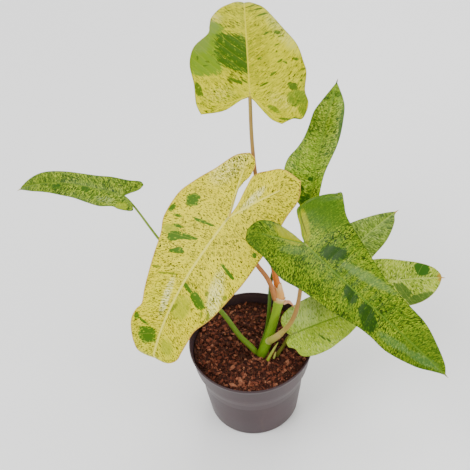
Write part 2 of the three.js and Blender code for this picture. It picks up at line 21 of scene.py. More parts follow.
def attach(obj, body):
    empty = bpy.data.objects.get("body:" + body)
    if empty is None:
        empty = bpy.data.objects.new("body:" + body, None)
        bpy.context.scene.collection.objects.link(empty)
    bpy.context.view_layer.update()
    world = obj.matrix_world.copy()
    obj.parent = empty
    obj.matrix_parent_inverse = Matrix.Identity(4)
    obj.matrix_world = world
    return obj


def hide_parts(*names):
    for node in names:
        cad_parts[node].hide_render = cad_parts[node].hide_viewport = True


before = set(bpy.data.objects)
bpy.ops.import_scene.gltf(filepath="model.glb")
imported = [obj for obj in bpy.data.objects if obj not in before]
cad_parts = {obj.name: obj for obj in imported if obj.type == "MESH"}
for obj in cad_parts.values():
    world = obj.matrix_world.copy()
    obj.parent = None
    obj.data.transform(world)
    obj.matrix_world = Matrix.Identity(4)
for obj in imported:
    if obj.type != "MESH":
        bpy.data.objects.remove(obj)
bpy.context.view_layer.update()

LOG = logging.getLogger("potted_plant")
MM = 0.001
ABOUT_A_TURN = 6.28

Pair = tuple[float, float]
Triple = tuple[float, float, float]


class Hand(Enum):
    """The two halves of a blade, seen from its stalk towards its tip."""

    LEFT = -1
    RIGHT = 1


class Face(Enum):
    """The two faces of a blade."""

    UPPER = "upper"
    LOWER = "lower"


class Spline:
    """A smooth line through points, read by its share of length."""

    STEPS = 20
    REACH = 0.004

    def __init__(self, points: Sequence[Sequence[float]], centripetal: bool = False) -> None:
        """Samples the line closely.

        Args:
            points: The points that the line passes through.
            centripetal: Spaces the line by the root of each gap, which avoids overshoot.
        """
        knots = [Vector(p) for p in points]
        before = 2 * knots[0] - knots[1] if centripetal else knots[0]
        after = 2 * knots[-1] - knots[-2] if centripetal else knots[-1]
        line = [before, *knots, after]
        self.points = [knots[0].copy()]
        for i in range(len(knots) - 1):
            for k in range(1, self.STEPS + 1):
                self.points.append(self.between(line[i:i + 4], k / self.STEPS, centripetal))
        self.lengths = [0.0]
        for a, b in zip(self.points, self.points[1:]):
            self.lengths.append(self.lengths[-1] + (b - a).length)

    @staticmethod
    def between(four: Sequence[Vector], t: float, centripetal: bool) -> Vector:
        """A point between the middle two of four points.

        Args:
            four: Four points in a row.
            t: Share of the way from the second to the third.
            centripetal: See the class.

        Returns:
            The point.
        """
        a, b, c, d = four
        gaps = [max((q - p).length, 1e-4) ** 0.5 if centripetal else 1.0 for p, q in zip(four, four[1:])]
        leave = ((b - a) / gaps[0] - (c - a) / (gaps[0] + gaps[1]) + (c - b) / gaps[1]) * gaps[1]
        arrive = ((c - b) / gaps[1] - (d - b) / (gaps[1] + gaps[2]) + (d - c) / gaps[2]) * gaps[1]
        square = -3 * b + 3 * c - 2 * leave - arrive
        cube = 2 * b - 2 * c + leave + arrive
        return b + leave * t + square * t * t + cube * t ** 3

    @property
    def length(self) -> float:
        """The whole length."""
        return self.lengths[-1]

    def at(self, share: float) -> Vector:
        """The point at a share of the length.

        Args:
            share: The share, from 0 to 1.

        Returns:
            The point.
        """
        place = min(max(share, 0.0), 1.0) * self.length
        i = min(bisect_right(self.lengths, place), len(self.lengths) - 1)
        low, high = self.lengths[i - 1], self.lengths[i]
        return self.points[i - 1].lerp(self.points[i], (place - low) / max(high - low, 1e-9))

    def along(self, share: float) -> Vector:
        """The direction of travel at a share of the length."""
        ahead, behind = min(share + self.REACH, 1.0), max(share - self.REACH, 0.0)
        return (self.at(ahead) - self.at(behind)).normalized()


def read_stops(stops: Sequence[Pair], t: float) -> float:
    """A value read along stops, with straight lines between them.

    Args:
        stops: Places with their values, in rising order.
        t: The place to read.

    Returns:
        The value there.
    """
    for (t0, v0), (t1, v1) in zip(stops, stops[1:]):
        if t <= t1:
            return v0 + (v1 - v0) * ((t - t0) / (t1 - t0))
    return stops[-1][1]


def paint(code: str) -> tuple[float, float, float, float]:
    """A colour in linear light.

    Args:
        code: The colour as rrggbb.

    Returns:
        Red, green and blue, and an alpha of 1.
    """
    channels = [int(code[i:i + 2], 16) / 255 for i in (0, 2, 4)]
    linear = [c / 12.92 if c <= 0.04045 else ((c + 0.055) / 1.055) ** 2.4 for c in channels]
    return (*linear, 1.0)


# Meshes


def store(bm: bmesh.types.BMesh, name: str, materials: Sequence[bpy.types.Material]) -> bpy.types.Object:
    """Turns a mesh in millimetres into a smooth object in metres at the origin.

    Args:
        bm: The finished mesh, freed here.
        name: The piece's name.
        materials: Its materials, in slot order.

    Returns:
        The object, linked to the scene.
    """
    bmesh.ops.scale(bm, vec=(MM, MM, MM), verts=bm.verts)
    for face in bm.faces:
        face.smooth = True
    mesh = bpy.data.meshes.new(name)
    bm.to_mesh(mesh)
    bm.free()
    for material in materials:
        mesh.materials.append(material)
    piece = bpy.data.objects.new(name, mesh)
    bpy.context.scene.collection.objects.link(piece)
    return piece


def spin_round(bm: bmesh.types.BMesh, line: Sequence[Pair], steps: int, merge: float) -> None:
    """Spins a line about Z into a closed solid with its faces outwards.

    Args:
        bm: The empty mesh.
        line: Radii and heights, from the axis round to the axis.
        steps: Steps of a full turn.
        merge: Distance under which points are one.
    """
    verts = [bm.verts.new((r, 0, z)) for r, z in line]
    edges = [bm.edges.new(pair) for pair in zip(verts, verts[1:])]
    bmesh.ops.spin(bm, geom=[*verts, *edges], cent=(0, 0, 0), axis=(0, 0, 1), dvec=(0, 0, 0),
                   angle=2 * math.pi, steps=steps, use_merge=True)
    bmesh.ops.remove_doubles(bm, verts=bm.verts, dist=merge)
    bmesh.ops.recalc_face_normals(bm, faces=bm.faces)


def settle(piece: bpy.types.Object, slot: str, *nodes: str) -> None:
    """Makes a piece ride with the plant, and lets it stand for CAD nodes.

    Args:
        piece: The finished piece.
        slot: Not used.
        nodes: The CAD nodes it stands for.
    """
    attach(piece, "root")
    if nodes:
        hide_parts(*nodes)
    LOG.info("%s: %d faces", piece.name, len(piece.data.polygons))


class Bench:
    """Builds one material out of nodes."""

    MIX_INPUTS = (0, 6, 7)
    MIX_OUTPUT = 2

    def __init__(self, name: str) -> None:
        """Starts an empty material.

        Args:
            name: The finish's name.
        """
        self.material = bpy.data.materials.new(name)
        self.material.use_nodes = True
        self.tree = self.material.node_tree
        self.tree.nodes.clear()

    def node(self, kind: str, **settings: Any) -> bpy.types.Node:
        """Adds a node.

        Args:
            kind: Its type, without the leading ShaderNode.
            settings: Its settings by name.

        Returns:
            The node.
        """
        made = self.tree.nodes.new("ShaderNode" + kind)
        for key, value in settings.items():
            setattr(made, key, value)
        return made

    def put(self, socket: bpy.types.NodeSocket, value: Any) -> None:
        """Links a value that comes from a node, or writes a plain one.

        Args:
            socket: The socket that takes it.
            value: A node's output, or a number, vector or colour.
        """
        if isinstance(value, bpy.types.NodeSocket):
            self.tree.links.new(value, socket)
        else:
            socket.default_value = value

    def math(self, operation: str, a: Any, b: Any = 0.0, c: Any = 0.0) -> bpy.types.NodeSocket:
        """One sum on numbers.

        Args:
            operation: The sum's name.
            a: First number.
            b: Second number, where it has one.
            c: Third number, where it has one.

        Returns:
            The result.
        """
        made = self.node("Math", operation=operation)
        for socket, value in zip(made.inputs, (a, b, c)):
            self.put(socket, value)
        return made.outputs[0]

    def vector(self, operation: str, a: Any, b: Any = (0.0, 0.0, 0.0)) -> bpy.types.NodeSocket:
        """One sum on vectors.

        Args:
            operation: The sum's name: DOT_PRODUCT, or one that gives a vector.
            a: First vector.
            b: Second vector, where it has one.

        Returns:
            The result.
        """
        made = self.node("VectorMath", operation=operation)
        self.put(made.inputs[0], a)
        self.put(made.inputs[1], b)
        return made.outputs["Value" if operation == "DOT_PRODUCT" else "Vector"]

    def step(self, value: Any, low: float, high: float) -> bpy.types.NodeSocket:
        """A smooth step.

        Args:
            value: The number it reads.
            low: Where it is 0.
            high: Where it is 1, which may lie below low.

        Returns:
            Its height.
        """
        made = self.node("MapRange", interpolation_type="SMOOTHSTEP")
        ends = (high, low, 1.0, 0.0) if low > high else (low, high, 0.0, 1.0)
        for socket, number in zip(made.inputs, (value, *ends)):
            self.put(socket, number)
        return made.outputs[0]

    def mix(self, share: Any, a: Any, b: Any) -> bpy.types.NodeSocket:
        """Two colours mixed.

        Args:
            share: Share of the second colour.
            a: First colour.
            b: Second colour.

        Returns:
            The colour.
        """
        made = self.node("Mix", data_type="RGBA")
        for i, value in zip(self.MIX_INPUTS, (share, a, b)):
            self.put(made.inputs[i], value)
        return made.outputs[self.MIX_OUTPUT]

    def noise(self, place: Any, scale: float, detail: float = 2.0,
              rough: float = 0.5) -> bpy.types.NodeSocket:
        """Smooth noise.

        Args:
            place: Where it is read.
            scale: Its fineness.
            detail: How many finer layers it has.
            rough: How strong the finer layers are.

        Returns:
            A number between about 0 and 1.
        """
        made = self.node("TexNoise")
        self.put(made.inputs["Vector"], place)
        made.inputs["Scale"].default_value = scale
        made.inputs["Detail"].default_value = detail
        made.inputs["Roughness"].default_value = rough
        return made.outputs[0]

    def cells(self, place: Any) -> bpy.types.NodeSocket:
        """Distance inside irregular cells with soft borders.

        Args:
            place: Where it is read, in cells.

        Returns:
            The distance.
        """
        made = self.node("TexVoronoi", feature="SMOOTH_F1")
        self.put(made.inputs["Vector"], place)
        made.inputs["Scale"].default_value = 1.0
        return made.outputs["Distance"]

    def shift(self, place: Any, move: Triple = (0, 0, 0), turn: float = 0.0,
              scale: Triple = (1, 1, 1), kind: str = "POINT") -> bpy.types.NodeSocket:
        """A place moved, turned about Z in degrees and scaled.

        Args:
            place: The place to map.
            move: How far it moves.
            turn: Its turn about Z, in degrees.
            scale: Its scale.
            kind: POINT, or TEXTURE for the inverse.

        Returns:
            The mapped place.
        """
        made = self.node("Mapping", vector_type=kind)
        self.put(made.inputs["Vector"], place)
        made.inputs["Location"].default_value = move
        made.inputs["Rotation"].default_value = (0, 0, math.radians(turn))
        made.inputs["Scale"].default_value = scale
        return made.outputs[0]

    def split(self, place: Any) -> tuple[bpy.types.NodeSocket, bpy.types.NodeSocket]:
        """The first two parts of a place.

        Args:
            place: The place.

        Returns:
            Its x and y.
        """
        made = self.node("SeparateXYZ")
        self.put(made.inputs[0], place)
        return made.outputs[0], made.outputs[1]

    def object_place(self) -> bpy.types.NodeSocket:
        """The place on the piece, in metres."""
        return self.node("TexCoord").outputs["Object"]

    def map_place(self, name: str) -> bpy.types.NodeSocket:
        """The place on one of the piece's own maps."""
        return self.node("UVMap", uv_map=name).outputs[0]

    def bump(self, height: Any, strength: float, distance: float) -> bpy.types.NodeSocket:
        """A normal that follows a height.

        Args:
            height: The height, about 0 to 1.
            strength: How much of it shows.
            distance: What a height of 1 stands for, in metres.

        Returns:
            The normal.
        """
        made = self.node("Bump")
        made.inputs["Strength"].default_value = strength
        made.inputs["Distance"].default_value = distance
        self.put(made.inputs["Height"], height)
        return made.outputs[0]

    def finish(self, colour: Any, roughness: Any, normal: Any = None, **more: Any) -> bpy.types.Material:
        """Ends the material in its shader.

        Args:
            colour: Base colour.
            roughness: Roughness.
            normal: Surface normal, or None for the mesh's own.
            more: Other shader sockets by name, with underscores for spaces.

        Returns:
            The material.
        """
        shader = self.node("BsdfPrincipled")
        self.put(shader.inputs["Base Color"], colour)
        self.put(shader.inputs["Roughness"], roughness)
        if normal is not None:
            self.put(shader.inputs["Normal"], normal)
        for key, value in more.items():
            self.put(shader.inputs[key.replace("_", " ")], value)
        output = self.node("OutputMaterial")
        self.tree.links.new(shader.outputs[0], output.inputs[0])
        return self.material


# The leaf's shape


@dataclass(frozen=True)
class LobeCurl:
    """A left lobe that rolls back under itself past a line across it."""

    start: float
    slope: float
    bulge: float
    bulge_at: float
    bulge_reach: float
    radius: float


@dataclass(frozen=True)
class Grid:
    """How finely a blade is divided: round the lobe, along the midrib and across."""

    lobe: int = 26
    turn: int = 16
    rib: int = 150
    rows: int = 26


SMALL_GRID = Grid(lobe=10, turn=8, rib=84, rows=18)


@dataclass(frozen=True)
class LeafForm:
    """One leaf's size, lie and outline, in millimetres and degrees.

    The outlines are flat: x runs across the blade and y along the midrib from the stalk's joint.
    """

    letter: str
    junction: Triple
    length: float
    half_width: float
    heading: float
    rise: float
    droop: float
    droop_power: float
    lobe_droop: float
    sweep: float
    roll: float
    twist: float
    fold: Pair
    camber: Pair
    wave: Triple
    tip: Pair
    right: tuple[Pair, ...]
    left: tuple[Pair, ...]
    stalk: tuple[Triple, ...]
    stalk_radii: tuple[Pair, ...]
    tip_curl: Pair | None = None
    lobe_curl: LobeCurl | None = None
    spike: str | None = None
    grid: Grid = Grid()
    vein_gap: float = 10.0
    slant: Pair = (0.34, 0.34)
    relief: float = 0.3


class LeafSurface:
    """The bent surface that a flat leaf outline lies on."""

    STEP = 0.5
    BEHIND = 0.7
    AHEAD = 1.1
    PROBE = 0.4

    def __init__(self, form: LeafForm) -> None:
        """Walks the midrib once.

        Args:
            form: The leaf.
        """
        self.form = form
        self.start = -self.BEHIND * form.length
        count = math.ceil((form.length * self.AHEAD - self.start) / self.STEP)
        origin = round(-self.start / self.STEP)
        self.midrib = [Vector(form.junction)] * (count + 1)
        for i in range(origin, count):
            self.midrib[i + 1] = self.midrib[i] + self.tangent(self.start + (i + 0.5) * self.STEP) * self.STEP
        for i in range(origin, 0, -1):
            self.midrib[i - 1] = self.midrib[i] - self.tangent(self.start + (i - 0.5) * self.STEP) * self.STEP

    def angles(self, y: float) -> Pair:
        """Climb and turn of the midrib.

        Args:
            y: Place along it.

        Returns:
            The two angles, in radians.
        """
        form = self.form
        t = y / form.length
        climb = form.rise - form.droop * max(t, 0.0) ** form.droop_power + form.lobe_droop * max(-t, 0.0)
        climb = math.radians(climb)
        if form.tip_curl:
            climb -= max(0.0, y - form.tip_curl[0]) / form.tip_curl[1]
        return climb, math.radians(form.heading + form.sweep * t)

    def tangent(self, y: float) -> Vector:
        """Direction of the midrib at y."""
        climb, turn = self.angles(y)
        return Vector((math.cos(climb) * math.cos(turn), math.cos(climb) * math.sin(turn), math.sin(climb)))

    def frame(self, y: float) -> tuple[Vector, Vector, Vector]:
        """Directions at a place on the midrib.

        Args:
            y: Place along it.

        Returns:
            Tangent, sideways direction and upper normal.
        """
        tangent = self.tangent(y)
        turn = self.angles(y)[1]
        level = Vector((math.sin(turn), -math.cos(turn), 0.0))
        upright = level.cross(tangent)
        roll = math.radians(self.form.roll + self.form.twist * y / self.form.length)
        side = level * math.cos(roll) - upright * math.sin(roll)
        return tangent, side, upright * math.cos(roll) + level * math.sin(roll)

    def on_midrib(self, y: float) -> Vector:
        """A point of the midrib.

        Args:
            y: Place along it.

        Returns:
            The point.
        """
        place = (y - self.start) / self.STEP
        i = min(max(int(place), 0), len(self.midrib) - 2)
        return self.midrib[i].lerp(self.midrib[i + 1], place - i)

    def bent(self, x: float, y: float) -> Vector:
        """The arched cross-section: each half leaves the midrib at its fold angle and curves down.

        Args:
            x: Flat place across the blade.
            y: Flat place along it.

        Returns:
            The point in space.
        """
        form = self.form
        hand = 0 if x < 0 else 1
        reach = abs(x)
        lift = math.radians(form.fold[hand])
        bow = form.camber[hand] / form.half_width
        across = (math.sin(lift) - math.sin(lift - bow * reach)) / bow
        height, count, begin = form.wave
        ripple = math.sin(2 * math.pi * count * y / form.length + begin + 2 * hand)
        up = (math.cos(lift - bow * reach) - math.cos(lift)) / bow
        up += height * (reach / form.half_width) ** 2 * ripple
        _, side, normal = self.frame(y)
        return self.on_midrib(y) + side * (across if hand else -across) + normal * up

    def point(self, x: float, y: float) -> Vector:
        """The bent blade, with the rolled-back lobe where there is one.

        Args:
            x: Flat place across the blade.
            y: Flat place along it.

        Returns:
            The point in space.
        """
        curl = self.form.lobe_curl
        if curl is None or x >= 0:
            return self.bent(x, y)
        middle = max(0.0, 1 - ((-x - curl.bulge_at) / curl.bulge_reach) ** 2)
        start = curl.start - curl.slope * x - curl.bulge * middle
        if y >= start:
            return self.bent(x, y)
        tangent, _, normal = self.frame(start)
        angle = (start - y) / curl.radius
        back = tangent * (math.sin(angle) * curl.radius)
        return self.bent(x, start) - back - normal * ((1 - math.cos(angle)) * curl.radius)

    def normal(self, x: float, y: float) -> Vector:
        """The blade's upper normal.

        Args:
            x: Flat place across the blade.
            y: Flat place along it.

        Returns:
            The normal.
        """
        across = self.point(x + self.PROBE, y) - self.point(x - self.PROBE, y)
        along = self.point(x, y + self.PROBE) - self.point(x, y - self.PROBE)
        return across.cross(along).normalized()


@dataclass(frozen=True)
class Rib:
    """One line of the blade's grid, from the spine out to the margin, laid flat."""

    spine: Vector
    margin: Vector
    run: float


class Blade:
    """One leaf blade: a thin curved plate with quilted veins, a midrib groove and a keel below."""

    LOBE_AXIS = 0.7
    INNER_END = 0.86
    OUTER_START = 0.04
    THICKNESS = 0.55
    MAP_SCALE = 0.01
    LEFT_MAP_SHIFT = 7.0
    VEIN_BEND = 0.4
    QUILT_ROUNDNESS = 0.6
    QUILT_EASE_RIB = 6.0
    QUILT_EASE_MARGIN = 5.0
    GROOVE_WIDTH = 1.1
    GROOVE_DEPTH = 0.35
    KEEL_WIDTH = 1.3
    KEEL_DEPTH = 0.9
    KEEL_AT_TIP = 0.25
    SPIKE_INSET = 2.5
    SPIKE_LENGTH = 6.0
    SPIKE_RADII = ((0, 0.55), (0.4, 0.65), (1, 0.12))
    MERGE = 0.02
    SLIVER = 0.005

    def __init__(self, form: LeafForm) -> None:
        """Prepares the blade's surface.

        Args:
            form: The leaf.
        """
        self.form = form
        self.surface = LeafSurface(form)

    def ribs(self, hand: Hand) -> list[Rib]:
        """The grid lines of one half, round the lobe and on to the tip.

        Args:
            hand: The half.

        Returns:
            The lines, each with the distance run along the blade.
        """
        form = self.form
        grid = form.grid
        named = form.right if hand is Hand.RIGHT else form.left
        lobe = min(range(len(named)), key=lambda i: named[i][1])
        inner = Spline([(0, 0), *named[:lobe + 1]])
        outer = Spline([*named[lobe:], form.tip])
        tip = Vector(form.tip)
        end = Vector(named[lobe]) * self.LOBE_AXIS
        reach = end.length
        pairs = []
        for i in range(grid.lobe + 1):
            pairs.append((end * (i / grid.lobe), inner.at(self.INNER_END * i / grid.lobe)))
        before = (1 - self.INNER_END) * inner.length
        after = self.OUTER_START * outer.length
        for i in range(1, grid.turn + 1):
            walk = (before + after) * i / grid.turn
            ahead = walk >= before
            share = (walk - before) / outer.length if ahead else self.INNER_END + walk / inner.length
            pairs.append((end, (outer if ahead else inner).at(share)))

        def outside(run: float) -> Vector:
            """The outer margin's point for a run along lobe axis and midrib."""
            return outer.at(self.OUTER_START + (1 - self.OUTER_START) * run / (reach + tip.y))

        for i in range(1, grid.lobe + 1):
            pairs.append((end * (1 - i / grid.lobe), outside(reach * i / grid.lobe)))
        for i in range(1, grid.rib + 1):
            pairs.append((tip * (i / grid.rib), outside(reach + tip.y * i / grid.rib)))
        run = 0.0
        lines = [Rib(*pairs[0], run)]
        for (spine0, margin0), (spine1, margin1) in zip(pairs, pairs[1:]):
            run += ((spine1 - spine0).length + (margin1 - margin0).length) / 2
            lines.append(Rib(spine1, margin1, run))
        return lines

    def vein_place(self, hand: Hand, rib: Rib, out: float, width: float) -> float:
        """Where a point lies across the side veins, which lean towards the tip.

        Args:
            hand: The half.
            rib: The grid line.
            out: Distance from the spine.
            width: The line's whole length.

        Returns:
            The run at which the vein through the point leaves the spine.
        """
        slant = self.form.slant[hand is Hand.RIGHT]
        return rib.run - slant * out * (1 - self.VEIN_BEND + self.VEIN_BEND * out / max(width, 1.0))

    def relief(self, vein: float, out: float, width: float) -> float:
        """How far the blade's upper face stands up between its veins and sinks at its midrib.

        Args:
            vein: Place across the side veins.
            out: Distance from the spine.
            width: The grid line's whole length.

        Returns:
            The height.
        """
        form = self.form
        quilt = 0.5 - 0.5 * math.cos(2 * math.pi * vein / form.vein_gap)
        inside = min(1.0, out / self.QUILT_EASE_RIB)
        inside *= min(1.0, max(width - out, 0.0) / self.QUILT_EASE_MARGIN)
        groove = math.exp(-(out / self.GROOVE_WIDTH) ** 2)
        return form.relief * quilt ** self.QUILT_ROUNDNESS * inside - self.GROOVE_DEPTH * groove

    def half(self, bm: bmesh.types.BMesh, hand: Hand) -> None:
        """Adds one half of the upper face.

        Args:
            bm: The blade's mesh.
            hand: The half.
        """
        form = self.form
        lines = self.ribs(hand)
        rows = form.grid.rows
        flat_map, vein_map, edge_map = (bm.loops.layers.uv[name] for name in ("flat", "vein", "edge"))
        keel = bm.verts.layers.float["keel"]
        known = set(bm.verts)
        bmesh.ops.create_grid(bm, x_segments=len(lines) - 1, y_segments=rows, size=0.5)
        fresh = [v for v in bm.verts if v not in known]
        places = {}
        for vert in fresh:
            i = round((vert.co.x + 0.5) * (len(lines) - 1))
            share = round((vert.co.y + 0.5) * rows) / rows
            rib = lines[i]
            flat = rib.spine.lerp(rib.margin, share)
            width = (rib.margin - rib.spine).length
            out = width * share
            vein = self.vein_place(hand, rib, out, width)
            normal = self.surface.normal(flat.x, flat.y)
            lift = self.relief(vein, out, width)
            vert.co = self.surface.point(flat.x, flat.y) + normal * (lift + self.THICKNESS / 2)
            fade = max(0.0, 1 - max(flat.y, 0.0) / form.length)
            depth = self.KEEL_AT_TIP + (1 - self.KEEL_AT_TIP) * fade
            vert[keel] = math.exp(-(out / self.KEEL_WIDTH) ** 2) * depth
            places[vert] = (flat, vein, out, width, rib.run)
        shift = 0.0 if hand is Hand.RIGHT else self.LEFT_MAP_SHIFT
        for face in {f for v in fresh for f in v.link_faces}:
            for loop in face.loops:
                flat, vein, out, width, run = places[loop.vert]
                loop[flat_map].uv = flat * self.MAP_SCALE
                loop[vein_map].uv = (vein * self.MAP_SCALE + shift, out * self.MAP_SCALE)
                loop[edge_map].uv = ((width - out) * self.MAP_SCALE, run * self.MAP_SCALE)
        if hand is Hand.RIGHT:
            bmesh.ops.reverse_faces(bm, faces=[f for f in bm.faces if f.verts[0] in places])

    def add_spike(self, bm: bmesh.types.BMesh) -> None:
        """Adds the drip tip, a small spike that the midrib ends in.

        Args:
            bm: The blade's mesh.
        """
        x, y = self.form.tip
        ahead = self.surface.tangent(y)
        start = self.surface.point(x, y - self.SPIKE_INSET)
        route = [tuple(start + ahead * reach) for reach in (0, self.SPIKE_INSET, self.SPIKE_LENGTH)]
        for face in Tube(route, self.SPIKE_RADII, steps=8, sides=10).add(bm):
            face.material_index = 2

    def build(self, upper: bpy.types.Material, lower: bpy.types.Material) -> bpy.types.Object:
        """Makes the whole blade.

        Args:
            upper: Material of the upper face and the margin.
            lower: Material of the underside.

        Returns:
            The piece.
        """
        bm = bmesh.new()
        for name in ("flat", "vein", "edge"):
            bm.loops.layers.uv.new(name)
        keel = bm.verts.layers.float.new("keel")
        twin = bm.verts.layers.int.new("twin")
        for hand in Hand:
            self.half(bm, hand)
        bmesh.ops.remove_doubles(bm, verts=bm.verts, dist=self.MERGE)
        bmesh.ops.dissolve_degenerate(bm, dist=self.SLIVER, edges=bm.edges)
        bm.normal_update()
        top = bm.verts[:]
        for i, vert in enumerate(top):
            vert[twin] = i
        under = [v.co - v.normal * (self.THICKNESS + self.KEEL_DEPTH * v[keel]) for v in top]
        bmesh.ops.solidify(bm, geom=bm.faces[:], thickness=self.THICKNESS)
        upper_side = set(top)
        for vert in bm.verts:
            if vert not in upper_side:
                vert.co = under[vert[twin]]
        for face in bm.faces:
            if not any(v in upper_side for v in face.verts):
                face.material_index = 1
        if self.form.spike is None:
            return store(bm, "leaf_" + self.form.letter, (upper, lower))
        self.add_spike(bm)
        horn = StalkFinish(self.form.spike, self.form.spike, "8a6a34", "6f5428", 0.3)
        return store(bm, "leaf_" + self.form.letter, (upper, lower, horn.dress("tip_" + self.form.letter)))


